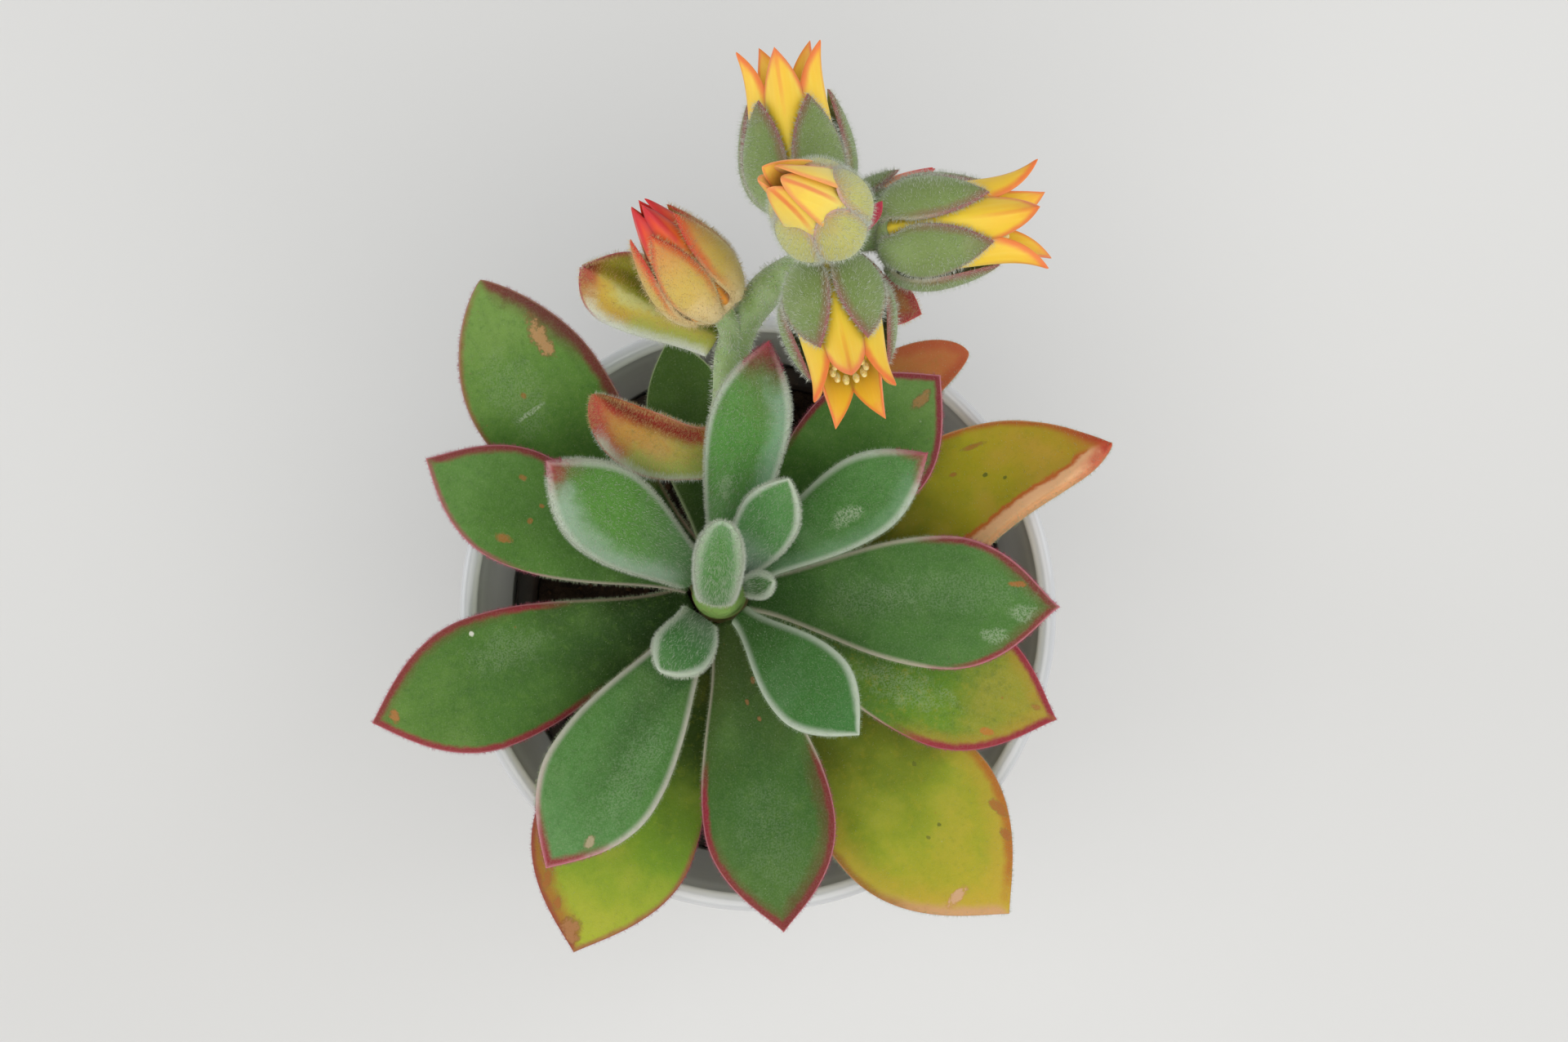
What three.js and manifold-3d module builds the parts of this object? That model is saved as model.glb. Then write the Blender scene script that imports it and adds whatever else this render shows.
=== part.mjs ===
// A potted echeveria in flower: velvety leaves in a loose rosette round a short stem, one flower
// stalk with bracts, blooms and buds, in a dark nursery pot that stands inside a white glazed pot.
// Millimetres, +Z up. The origin is the centre of the white pot's flat underside.

import * as THREE from 'three';
import { mergeVertices } from 'three/addons/utils/BufferGeometryUtils.js';
import Module from 'manifold-3d';

const wasm = await Module();
wasm.setup();

// Driving dimensions

const GAP = 0.3;

const POT_HEIGHT = 76;
const POT_RIM_RADIUS = 40;
const POT_FOOT_RADIUS = 30;
const POT_WALL = 2.4;
const POT_FLOOR = 4;
const POT_SIDES = 40;

const LINER_TOP = POT_HEIGHT - 22;
const LINER_LIP_RADIUS = 34.1;
const LINER_TOP_RADIUS = 32.6;
const LINER_FLOOR_RADIUS = 24.6;
const LINER_WALL = 0.9;
const LINER_SIDES = 26;
const DRAIN_HOLES = 6;
const DRAIN_RADIUS = 2.5;

const SOIL_TOP = LINER_TOP - 2.5;
const SOIL_LUMP = 0.9;

const STEM_X = -5;
const STEM_Y = 3;
const STEM_FOOT = 38;
const STEM_TOP = 101;
const STEM_FOOT_RADIUS = 5;
const STEM_TOP_RADIUS = 2.9;

const OLD_LEAVES = 4;

// Rosette leaves, lowest first, the OLD_LEAVES lowest turned yellow. turn is the way a leaf points,
// seat the height of its base on the stem, reach and climb the run and the rise from base to tip,
// rise and fall the slopes at base and tip, sweep a sideways bow (plus bows it left), roll its turn
// about its midrib (plus lifts its left), neck the width of its base as a share of its width.
const UPRIGHT = { sweep: 0.5, neck: 0.46 };
const LEAVES = [
  { turn: 44, seat: 72, reach: 41, climb: 12, rise: 22, fall: 4, width: 13, thick: 3.4, sweep: 2.5 },
  { turn: -48, seat: 73, reach: 52.5, climb: 10, rise: 22, fall: -4, width: 23.5, thick: 4, sweep: -0.8 },
  { turn: 21, seat: 78.5, reach: 50, climb: 12.5, rise: 25, fall: 14, width: 19, thick: 5, roll: -42 },
  { turn: -112, seat: 76.5, reach: 46.5, climb: 8.5, rise: 22, fall: 0, width: 21.5, thick: 4, sweep: -1.2 },
  { turn: -20.5, seat: 82, reach: 42.5, climb: 9, rise: 24, fall: 4, width: 18, thick: 4 },
  { turn: 127, seat: 75.5, reach: 45.5, climb: 22.5, rise: 32, fall: 24, width: 19.5, thick: 4.2, sweep: 3.6 },
  { turn: 44.5, seat: 83, reach: 35.5, climb: 14, rise: 32, fall: 16, width: 17.5, thick: 4 },
  { turn: -159.5, seat: 80, reach: 43, climb: 14, rise: 30, fall: 8, width: 17.5, thick: 4.2, sweep: 0.5 },
  { turn: 101, seat: 82, reach: 30, climb: 6, rise: 12, fall: 12, width: 11, thick: 3, sweep: -1 },
  { turn: 155, seat: 84.5, reach: 36.5, climb: 14.5, rise: 32, fall: 12, width: 15, thick: 4.2, sweep: 1 },
  { turn: -79, seat: 83, reach: 40, climb: 11, rise: 30, fall: 2, width: 17, thick: 4.2, sweep: 1.3 },
  { turn: -2, seat: 87, reach: 39, climb: 15, rise: 36, fall: 10, width: 17, thick: 4.4 },
  { turn: -122, seat: 87, reach: 36.5, climb: 14, rise: 34, fall: 10, width: 15.5, thick: 4.2 },
  { turn: 34, seat: 89.5, reach: 27.5, climb: 18.5, rise: 42, fall: 26, width: 10.5, thick: 4 },
  { turn: 78, seat: 92, reach: 27.5, climb: 25, rise: 56, fall: 30, width: 10, thick: 4.4, ...UPRIGHT },
  { turn: 141, seat: 93, reach: 22, climb: 22, rise: 56, fall: 32, width: 11.5, thick: 4.4, ...UPRIGHT },
  { turn: -44, seat: 93.5, reach: 20.5, climb: 16.5, rise: 50, fall: 24, width: 11, thick: 3.6 },
  { turn: 58, seat: 96.5, reach: 13, climb: 19.5, rise: 66, fall: 44, width: 7.6, thick: 2.8, sweep: -0.8 },
  { turn: -127, seat: 97, reach: 7.2, climb: 17, rise: 76, fall: 56, width: 7.4, thick: 2.6, sweep: 1 },
  { turn: 14, seat: 98, reach: 3.6, climb: 12, rise: 82, fall: 64, width: 3.4, thick: 1.8 },
  { turn: -97, seat: 103, reach: -9.4, climb: 19, rise: 88, fall: 138, width: 6.8, thick: 3.4, neck: 0.7 },
];

// The flower stalk's centre line, from the stem to the knot that the blooms' short stems leave.
const STALK_ROUTE = [
  [-4.6, 7.6, 87.5],
  [-4.2, 15, 91],
  [-3.7, 25, 97],
  [-2.8, 34.4, 103.5],
  [1, 40.6, 110],
  [5.6, 43.4, 115.5],
  [9, 45, 120.5],
];
const STALK_RADIUS = 2.2;
const KNOT_SWELL = 1.2;
const PEDICEL_RADIUS = 1.4;
const PEDICEL_STRAIGHT = 1.6;
const TINY_BRACT = { width: 1.8, thick: 1 };

// Bracts of the stalk: base and tip in the part's own frame, else as for the leaves.
const BRACTS = [
  { name: 'brown', base: [-6.6, 21, 97.5], tip: [-20.5, 28.4, 103], rise: 30, fall: 20, width: 9, thick: 3 },
  { name: 'boat', base: [-5, 35.6, 103.5], tip: [-21.5, 43.9, 110], rise: 10, fall: 35, width: 9, thick: 2.4 },
  { name: 'red', base: [8.1, 42.4, 115.2], tip: [20.4, 37.7, 115], rise: 6, fall: 10, width: 6, thick: 1.6 },
  { name: 'pink_upper', base: [12.6, 46.8, 124], tip: [15.2, 50.4, 128], rise: 70, fall: 20, ...TINY_BRACT },
  { name: 'pink_lower', base: [12.8, 44.4, 120], tip: [15.6, 40.8, 119.5], rise: 50, fall: 10, ...TINY_BRACT },
];

// Blooms: where the green cup's base sits, where the bloom's axis points, its turn about that axis,
// how far it has opened (1 is wide open), its size against a full bloom, and root, the point of the
// route that its short stem leaves where that isn't the knot.
const BLOOMS = [
  { name: 'bloom_top', base: [6, 49.4, 121], aim: [-3, 20, 3], spin: 90, open: 0.7 },
  { name: 'bloom_middle', base: [8.8, 47.6, 131], aim: [-4, 3.4, 19], spin: 20, open: 0.35, size: 0.9 },
  { name: 'bloom_right', base: [14.6, 46.7, 121.4], aim: [20.9, 2.2, 3], spin: 54, open: 1 },
  { name: 'bloom_lower', base: [8.8, 42.2, 122.4], aim: [2, -17.5, 10], spin: 69, open: 0.65 },
  { name: 'bud_left', root: 3, base: [-4.3, 38.4, 110], aim: [-10, 12.6, 7], spin: 0, open: 0, size: 0.86 },
  { name: 'bud_hidden', root: 5, base: [11.4, 48, 111], aim: [11.5, 8, -1.5], spin: 0, open: 0, size: 0.66 },
];

const SEPALS = 5;
const PETALS = 5;
const STAMENS = 10;
const SEPAL = {
  baseRadius: 3.9, baseHeight: 1, tipRadius: 5.6, tipHeight: 14.5,
  rise: 24, fall: 106, width: 8, thick: 1.3, cup: 0.3, neck: 0.5, widest: 0.5,
};
const PETAL = {
  baseRadius: 3.8, baseHeight: 2.2, tipRadius: 7, tipHeight: 20.5,
  rise: 84, fall: 46, width: 5.4, thick: 1.2, cup: 0.35, neck: 0.6, widest: 0.55,
};
const BUD_SEPAL_TIP_RADIUS = 4.4;
const BUD_SEPAL_RISE = 38;
const BUD_PETAL_TIP_RADIUS = 1.6;
const BUD_PETAL_FALL = 100;
const CUP_RADIUS = 4.4;
const TUBE_RADIUS = 4.2;
const TUBE_TOP = 12;

// Blades: one closed shape serves leaves, bracts, sepals and petals

// Width along the blade as a share of the full width: a neck that swells to its widest place and
// from there narrows along a parabola to a point.
function widthShare(s, neck, widest) {
  if (s <= widest) {
    return neck + (1 - neck) * (0.5 - 0.5 * Math.cos(Math.PI * s / widest)) ** 0.85;
  }
  const x = (s - widest) / (1 - widest);
  return 1 - x ** 2;
}

// Thickness along the blade as a share of the full thickness, thin only close to the tip.
function thickShare(s) {
  return (0.75 + 0.25 * Math.sin(Math.PI * s)) * Math.sqrt(Math.max(0, 1 - s ** 5));
}

function smooth(s) {
  return s * s * (3 - 2 * s);
}

// A blade from the origin along +X, its upper side up. Each ring is a flat-topped oval across a
// cubic midrib, its edges raised by cup, turned about the midrib by roll.
function bladeGeometry(shape, stations, sides) {
  const { reach, climb, rise, fall, width, thick, sweep = 0, roll = 0 } = shape;
  const { neck = 0.28, widest = 0.66, cup = 0.1 } = shape;
  const third = Math.hypot(reach, climb) / 3;
  const start = THREE.MathUtils.degToRad(rise);
  const end = THREE.MathUtils.degToRad(fall);
  const midrib = new THREE.CubicBezierCurve3(
    new THREE.Vector3(0, 0, 0),
    new THREE.Vector3(third * Math.cos(start), sweep, third * Math.sin(start)),
    new THREE.Vector3(reach - third * Math.cos(end), sweep, climb - third * Math.sin(end)),
    new THREE.Vector3(reach, 0, climb),
  );
  const left = new THREE.Vector3(0, 1, 0);
  const points = [];
  for (const s of stations) {
    const along = midrib.getTangent(s);
    const up = new THREE.Vector3().crossVectors(along, left).normalize();
    const side = new THREE.Vector3().crossVectors(up, along).normalize();
    const turn = THREE.MathUtils.degToRad(roll) * smooth(s);
    side.applyAxisAngle(along, turn);
    up.applyAxisAngle(along, turn);
    const half = 0.5 * width * widthShare(s, neck, widest);
    const deep = thick * thickShare(s);
    for (let k = 0; k < sides; k += 1) {
      const angle = 2 * Math.PI * k / sides;
      const across = Math.cos(angle);
      const rim = Math.sin(angle);
      const lift = deep * rim * (rim > 0 ? 0.3 : 0.7) + cup * half * across * across;
      points.push(midrib.getPoint(s).addScaledVector(side, half * across).addScaledVector(up, lift));
    }
  }
  return closedLoft(points, sides, new THREE.Vector3(reach, 0, climb));
}

// Rings of points joined into a closed skin that ends in one point.
function closedLoft(points, sides, apex) {
  const rings = points.length / sides;
  const triangles = [];
  for (let k = 1; k < sides - 1; k += 1) {
    triangles.push(0, k, k + 1);
  }
  for (let r = 0; r < rings - 1; r += 1) {
    for (let k = 0; k < sides; k += 1) {
      const a = r * sides + k;
      const b = r * sides + (k + 1) % sides;
      triangles.push(a, a + sides, b, b, a + sides, b + sides);
    }
  }
  const last = (rings - 1) * sides;
  for (let k = 0; k < sides; k += 1) {
    triangles.push(last + k, points.length, last + (k + 1) % sides);
  }
  const geometry = new THREE.BufferGeometry().setFromPoints([...points, apex]);
  geometry.setIndex(triangles);
  return facingOut(geometry);
}

// The same mesh with its faces turned out, told by the sign of its volume.
function facingOut(geometry) {
  const place = geometry.attributes.position;
  const index = geometry.index.array;
  const [a, b, c] = [new THREE.Vector3(), new THREE.Vector3(), new THREE.Vector3()];
  let volume = 0;
  for (let i = 0; i < index.length; i += 3) {
    a.fromBufferAttribute(place, index[i]);
    b.fromBufferAttribute(place, index[i + 1]);
    c.fromBufferAttribute(place, index[i + 2]);
    volume += a.dot(b.cross(c));
  }
  if (volume < 0) {
    index.reverse();
  }
  geometry.computeVertexNormals();
  return geometry;
}

const LEAF_STATIONS = [0, 0.12, 0.26, 0.42, 0.56, 0.68, 0.79, 0.88, 0.95];
const LEAF_SIDES = 8;
const PETAL_STATIONS = [0, 0.26, 0.52, 0.74, 0.9];
const PETAL_SIDES = 6;

// Solids: joins and cuts

function solid(geometry) {
  const bare = geometry.clone();
  bare.deleteAttribute('normal');
  bare.deleteAttribute('uv');
  const merged = mergeVertices(bare, 1e-4);
  const triVerts = new Uint32Array(merged.index.array);
  const vertProperties = new Float32Array(merged.attributes.position.array);
  return new wasm.Manifold(new wasm.Mesh({ numProp: 3, vertProperties, triVerts }));
}

function geometryOf(body) {
  const mesh = body.getMesh();
  const geometry = new THREE.BufferGeometry();
  geometry.setAttribute('position', new THREE.BufferAttribute(mesh.vertProperties.slice(), 3));
  geometry.setIndex(Array.from(mesh.triVerts));
  geometry.computeVertexNormals();
  return geometry;
}

function joined(geometries) {
  return geometryOf(geometries.map(solid).reduce((sum, body) => sum.add(body)));
}

function lathe(profile, sides) {
  const outline = profile.map(([radius, height]) => new THREE.Vector2(radius, height));
  return new THREE.LatheGeometry(outline, sides).rotateX(Math.PI / 2);
}

function rod(from, to, radiusFrom, radiusTo, sides) {
  const start = new THREE.Vector3(...from);
  const way = new THREE.Vector3(...to).sub(start);
  const geometry = new THREE.CylinderGeometry(radiusTo, radiusFrom, way.length(), sides);
  geometry.translate(0, way.length() / 2, 0);
  geometry.applyQuaternion(new THREE.Quaternion().setFromUnitVectors(
    new THREE.Vector3(0, 1, 0),
    way.normalize(),
  ));
  return geometry.translate(start.x, start.y, start.z);
}

function paint(color, roughness) {
  return new THREE.MeshStandardMaterial({ color, roughness, metalness: 0 });
}

function piece(name, geometry, material) {
  const mesh = new THREE.Mesh(geometry, material);
  mesh.name = name;
  return mesh;
}

const GLAZE = paint('#d9d7d4', 0.25);
const PLASTIC = paint('#1d1a18', 0.55);
const EARTH = paint('#2b211a', 0.95);
const BARK = paint('#7d7350', 0.85);
const LEAF_GREEN = paint('#567a33', 0.7);
const LEAF_YELLOW = paint('#a8a02e', 0.7);
const BRACT_RED = paint('#b2552c', 0.75);
const SEPAL_GREEN = paint('#6c8a50', 0.75);
const PETAL_YELLOW = paint('#f2a81d', 0.55);
const POLLEN = paint('#efe29a', 0.8);

// The white pot

function makePot() {
  const slope = (POT_RIM_RADIUS - POT_FOOT_RADIUS) / POT_HEIGHT;
  const outer = (z) => POT_FOOT_RADIUS + slope * z;
  const lip = POT_WALL / 2;
  const lipCentre = [POT_RIM_RADIUS - lip, POT_HEIGHT - lip];
  const profile = [[0, 0], [POT_FOOT_RADIUS - 2, 0], [POT_FOOT_RADIUS - 0.4, 1.6], [outer(6), 6]];
  for (let k = 0; k <= 5; k += 1) {
    const angle = Math.PI * k / 5;
    profile.push([lipCentre[0] + lip * Math.cos(angle), lipCentre[1] + lip * Math.sin(angle)]);
  }
  profile.push([outer(POT_FLOOR + 3) - POT_WALL, POT_FLOOR + 3]);
  profile.push([outer(POT_FLOOR) - POT_WALL - 2, POT_FLOOR]);
  profile.push([0, POT_FLOOR]);
  return piece('pot', lathe(profile, POT_SIDES), GLAZE);
}

// The dark nursery pot, with drain holes through its floor

function makeLiner() {
  const floor = POT_FLOOR + GAP;
  const profile = [
    [0, floor],
    [LINER_FLOOR_RADIUS - 0.8, floor],
    [LINER_FLOOR_RADIUS, floor + 0.8],
    [LINER_TOP_RADIUS, LINER_TOP - 3],
    [LINER_LIP_RADIUS, LINER_TOP - 2.6],
    [LINER_LIP_RADIUS, LINER_TOP],
    [LINER_TOP_RADIUS - LINER_WALL, LINER_TOP],
    [LINER_FLOOR_RADIUS - LINER_WALL, floor + LINER_WALL],
    [0, floor + LINER_WALL],
  ];
  let body = solid(lathe(profile, LINER_SIDES));
  for (let k = 0; k < DRAIN_HOLES; k += 1) {
    const angle = 2 * Math.PI * k / DRAIN_HOLES;
    const x = 0.7 * LINER_FLOOR_RADIUS * Math.cos(angle);
    const y = 0.7 * LINER_FLOOR_RADIUS * Math.sin(angle);
    const drill = rod([x, y, floor - 1], [x, y, floor + 2], DRAIN_RADIUS, DRAIN_RADIUS, 8);
    body = body.subtract(solid(drill));
  }
  return piece('nursery_pot', geometryOf(body), PLASTIC);
}

// The soil: a plug that fills the nursery pot, lumpy on top, with a plain hole for the stem

function makeSoil() {
  const slope = (LINER_TOP_RADIUS - LINER_FLOOR_RADIUS) / (LINER_TOP - 3 - POT_FLOOR - GAP - 0.8);
  const floor = POT_FLOOR + GAP + LINER_WALL + GAP;
  const edge = (z) => LINER_FLOOR_RADIUS + slope * (z - POT_FLOOR - GAP - 0.8) - LINER_WALL - 2 * GAP;
  const profile = [[0, floor], [edge(floor) - 0.5, floor], [edge(SOIL_TOP) - 0.2, SOIL_TOP - 0.6]];
  for (let k = 5; k >= 0; k -= 1) {
    profile.push([k * edge(SOIL_TOP) / 6, SOIL_TOP]);
  }
  const geometry = mergeVertices(lathe(profile, LINER_SIDES).deleteAttribute('uv').deleteAttribute('normal'));
  const place = geometry.attributes.position;
  for (let i = 0; i < place.count; i += 1) {
    if (place.getZ(i) > SOIL_TOP - 0.1) {
      const [x, y] = [place.getX(i), place.getY(i)];
      const lump = Math.sin(0.41 * x + 1.3) * Math.cos(0.37 * y) + 0.6 * Math.sin(0.9 * x + 1.1 * y);
      place.setZ(i, SOIL_TOP + SOIL_LUMP * lump);
    }
  }
  const hole = stemRadius(SOIL_TOP) + GAP;
  const foot = stemRadius(STEM_FOOT) + GAP;
  const drill = rod([STEM_X, STEM_Y, STEM_FOOT - GAP], [STEM_X, STEM_Y, SOIL_TOP + 5], foot, hole, 16);
  return piece('soil', geometryOf(solid(geometry).subtract(solid(drill))), EARTH);
}

// The stem, narrowing upward, with a rounded growing tip

function stemRadius(z) {
  const share = (z - STEM_FOOT) / (STEM_TOP - STEM_FOOT);
  return STEM_FOOT_RADIUS + share * (STEM_TOP_RADIUS - STEM_FOOT_RADIUS);
}

function makeStem() {
  const profile = [[0, STEM_FOOT], [STEM_FOOT_RADIUS, STEM_FOOT]];
  for (const z of [SOIL_TOP + 2, 66, 78, 90, STEM_TOP]) {
    profile.push([stemRadius(z), z]);
  }
  profile.push([0.7 * STEM_TOP_RADIUS, STEM_TOP + 1.4], [0, STEM_TOP + 1.6]);
  const mesh = piece('stem', lathe(profile, 12), BARK);
  mesh.position.set(STEM_X, STEM_Y, 0);
  return mesh;
}

// Leaves, each seated a small gap off the stem, the last one upright on its tip

function makeLeaf(shape, number) {
  const name = `leaf_${String(number + 1).padStart(2, '0')}`;
  const material = number < OLD_LEAVES ? LEAF_YELLOW : LEAF_GREEN;
  const mesh = piece(name, bladeGeometry(shape, LEAF_STATIONS, LEAF_SIDES), material);
  const turn = THREE.MathUtils.degToRad(shape.turn);
  const lean = Math.sin(THREE.MathUtils.degToRad(shape.rise));
  const isCrown = shape.seat > STEM_TOP;
  const away = isCrown ? 0 : stemRadius(shape.seat) + GAP + 0.3 * shape.thick * lean;
  mesh.position.set(STEM_X + away * Math.cos(turn), STEM_Y + away * Math.sin(turn), shape.seat);
  mesh.rotation.z = turn;
  return mesh;
}

function makeBract({ name, base, tip, ...shape }) {
  const [dx, dy] = [tip[0] - base[0], tip[1] - base[1]];
  const blade = { ...shape, reach: Math.hypot(dx, dy), climb: tip[2] - base[2], neck: 0.5 };
  const mesh = piece(`bract_${name}`, bladeGeometry(blade, PETAL_STATIONS, LEAF_SIDES), BRACT_RED);
  mesh.position.set(...base);
  mesh.rotation.z = Math.atan2(dy, dx);
  return mesh;
}

// The stalk and the short stems of the blooms, grown as one

function circle(radius) {
  const section = new THREE.Shape();
  section.absarc(0, 0, radius, 0, 2 * Math.PI);
  return section;
}

function makeStalk() {
  const places = STALK_ROUTE.map((place) => new THREE.Vector3(...place));
  const extrudePath = new THREE.CatmullRomCurve3(places);
  const stalk = new THREE.ExtrudeGeometry(circle(STALK_RADIUS), { steps: 12, curveSegments: 4, extrudePath });
  const knot = new THREE.IcosahedronGeometry(STALK_RADIUS * KNOT_SWELL, 1).translate(...STALK_ROUTE.at(-1));
  const parts = [stalk, knot];
  for (const { base, aim, root = STALK_ROUTE.length - 1 } of BLOOMS) {
    const way = new THREE.Vector3(...aim).normalize();
    const end = new THREE.Vector3(...base).addScaledVector(way, -GAP);
    const bend = end.clone().addScaledVector(way, -PEDICEL_STRAIGHT);
    const route = new THREE.QuadraticBezierCurve3(places[root], bend, end);
    const shape = { steps: 4, curveSegments: 3, extrudePath: route };
    parts.push(new THREE.ExtrudeGeometry(circle(PEDICEL_RADIUS), shape));
  }
  return piece('flower_stalk', joined(parts), SEPAL_GREEN);
}

// Blooms: a green cup of sepals, a corolla of keeled petals, stamens round a pistil

function ringOf(count, shape, turn) {
  const blades = [];
  const full = {
    ...shape,
    reach: shape.tipRadius - shape.baseRadius,
    climb: shape.tipHeight - shape.baseHeight,
  };
  for (let k = 0; k < count; k += 1) {
    const blade = bladeGeometry(full, PETAL_STATIONS, PETAL_SIDES);
    blade.translate(shape.baseRadius, 0, shape.baseHeight);
    blades.push(blade.rotateZ(turn + 2 * Math.PI * k / count));
  }
  return blades;
}

function calyxGeometry(open) {
  const sepal = open > 0 ? SEPAL : { ...SEPAL, tipRadius: BUD_SEPAL_TIP_RADIUS, rise: BUD_SEPAL_RISE };
  const base = [[0, 0], [PEDICEL_RADIUS, 0], [CUP_RADIUS - 0.6, 0.7], [CUP_RADIUS, 1.6], [0, 1.6]];
  return joined([lathe(base, 10), ...ringOf(SEPALS, sepal, 0)]);
}

function corollaGeometry(open) {
  const petal = {
    ...PETAL,
    tipRadius: THREE.MathUtils.lerp(BUD_PETAL_TIP_RADIUS, PETAL.tipRadius, open),
    fall: THREE.MathUtils.lerp(BUD_PETAL_FALL, PETAL.fall, open),
  };
  const tube = [
    [0, 1.6 + GAP],
    [TUBE_RADIUS - 0.5, 1.6 + GAP],
    [TUBE_RADIUS, 5],
    [TUBE_RADIUS - 0.2, TUBE_TOP],
    [TUBE_RADIUS - 1, TUBE_TOP],
    [TUBE_RADIUS - 0.9, 5],
    [TUBE_RADIUS - 1.4, 3],
    [0, 3],
  ];
  return joined([lathe(tube, 10), ...ringOf(PETALS, petal, Math.PI / PETALS)]);
}

function stamensGeometry() {
  const floor = 3 + GAP;
  const disc = [[0, floor], [2.3, floor], [2.3, floor + 0.8], [0, floor + 0.8]];
  const pistil = [[0, floor + 0.4], [1.2, floor + 0.4], [0.8, 12], [0, 15]];
  const filament = [[0, floor + 0.4], [0.36, floor + 0.4], [0.36, 14.6], [0.75, 15.6], [0, 16.8]];
  const parts = [lathe(disc, 10), lathe(pistil, 5)];
  for (let k = 0; k < STAMENS; k += 1) {
    const stamen = lathe(filament, 3).translate(1.85, 0, 0);
    parts.push(stamen.rotateZ(2 * Math.PI * (k + 0.5) / STAMENS));
  }
  return joined(parts);
}

function makeBloom({ name, base, aim, spin, open, size = 1 }) {
  const group = new THREE.Group();
  group.position.set(...base);
  group.quaternion.setFromUnitVectors(new THREE.Vector3(0, 0, 1), new THREE.Vector3(...aim).normalize());
  group.scale.setScalar(size);
  const turned = new THREE.Group();
  turned.rotation.z = THREE.MathUtils.degToRad(spin);
  turned.add(piece(`${name}_calyx`, calyxGeometry(open), SEPAL_GREEN));
  turned.add(piece(`${name}_corolla`, corollaGeometry(open), PETAL_YELLOW));
  if (open > 0) {
    turned.add(piece(`${name}_stamens`, stamensGeometry(), POLLEN));
  }
  group.add(turned);
  return group;
}

const plant = new THREE.Group();
plant.add(makePot(), makeLiner(), makeSoil(), makeStem(), makeStalk());
plant.add(...LEAVES.map(makeLeaf), ...BRACTS.map(makeBract), ...BLOOMS.map(makeBloom));

export default plant;
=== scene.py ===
"""Looks of a potted echeveria in flower, seen from straight above: velvety leaves, a hairy flower
stalk with blooms, soil, a dark nursery pot and a white glazed pot. Shapes are worked out in
millimetres and put into meshes in metres."""

import math

import bpy
import numpy as np
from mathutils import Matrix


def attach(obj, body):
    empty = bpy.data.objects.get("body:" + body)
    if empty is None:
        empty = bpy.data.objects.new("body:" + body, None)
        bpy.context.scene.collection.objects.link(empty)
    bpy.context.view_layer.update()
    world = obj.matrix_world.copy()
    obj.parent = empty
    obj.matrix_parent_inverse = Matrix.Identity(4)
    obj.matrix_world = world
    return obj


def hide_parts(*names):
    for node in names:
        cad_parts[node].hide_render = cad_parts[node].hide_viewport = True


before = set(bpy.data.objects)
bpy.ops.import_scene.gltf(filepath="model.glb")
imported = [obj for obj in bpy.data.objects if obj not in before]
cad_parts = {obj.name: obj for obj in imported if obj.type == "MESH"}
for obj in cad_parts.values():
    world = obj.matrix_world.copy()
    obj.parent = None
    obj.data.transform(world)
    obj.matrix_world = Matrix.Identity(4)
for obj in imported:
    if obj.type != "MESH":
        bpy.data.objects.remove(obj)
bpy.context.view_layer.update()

MM = 0.001
TAU = 2 * math.pi


# Camera: straight above the plant, where the photograph was taken from

EYE = (3.497, 12.35, 541.0)
LENS = 79.78
SENSOR = 36.0


def set_camera():
    data = bpy.data.cameras.new("camera")
    data.lens = LENS
    data.sensor_width = SENSOR
    data.sensor_fit = "HORIZONTAL"
    data.clip_start = 10 * MM
    camera = bpy.data.objects.new("camera", data)
    camera.location = [place * MM for place in EYE]
    bpy.context.scene.collection.objects.link(camera)
    bpy.context.scene.camera = camera


# Light: a broad soft panel above, a weaker one on the right, a low one on the left, and a pale sky

SKY_COLOUR, SKY_STRENGTH = (0.96, 0.98, 1.0, 1.0), 0.42
LIT_SPOT = (0.0, 0.01, 0.08)
# Each panel's name, place in metres, width in metres, power in watts and colour
PANELS = (
    ("main_panel", (0.1, -0.3, 1.0), 1.3, 9.3, (1.0, 0.985, 0.955)),
    ("side_panel", (0.85, 0.4, 0.4), 0.7, 2.6, (0.9, 0.95, 1.0)),
    ("low_panel", (-0.9, 0.05, 0.3), 0.7, 3.0, (0.95, 0.97, 1.0)),
)


def set_light():
    world = bpy.data.worlds.new("soft_room")
    world.use_nodes = True
    sky = world.node_tree.nodes["Background"]
    sky.inputs["Color"].default_value = SKY_COLOUR
    sky.inputs["Strength"].default_value = SKY_STRENGTH
    bpy.context.scene.world = world
    for name, place, size, power, tint in PANELS:
        data = bpy.data.lights.new(name, "AREA")
        data.size = size
        data.energy = power
        data.color = tint
        light = bpy.data.objects.new(name, data)
        light.location = place
        aim = np.subtract(LIT_SPOT, place)
        pitch = math.atan2(math.hypot(aim[0], aim[1]), -aim[2])
        light.rotation_euler = (pitch, 0, math.atan2(aim[1], aim[0]) - math.pi / 2)
        bpy.context.scene.collection.objects.link(light)
    bpy.context.scene.view_settings.view_transform = "Standard"


# Shader maths

class Value:
    """A shader socket that Python's operators join with Math nodes."""

    def __init__(self, finish, socket):
        self.finish = finish
        self.socket = socket

    def math(self, operation, *numbers):
        return self.finish.node("ShaderNodeMath", {"operation": operation}, dict(enumerate(numbers)))

    def __add__(self, other):
        return self.math("ADD", self, other)

    def __radd__(self, other):
        return self.math("ADD", other, self)

    def __sub__(self, other):
        return self.math("SUBTRACT", self, other)

    def __rsub__(self, other):
        return self.math("SUBTRACT", other, self)

    def __mul__(self, other):
        return self.math("MULTIPLY", self, other)

    def __rmul__(self, other):
        return self.math("MULTIPLY", other, self)

    def __truediv__(self, other):
        return self.math("DIVIDE", self, other)

    def __abs__(self):
        return self.math("ABSOLUTE", self)

    def root(self):
        return self.math("SQRT", self)


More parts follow.
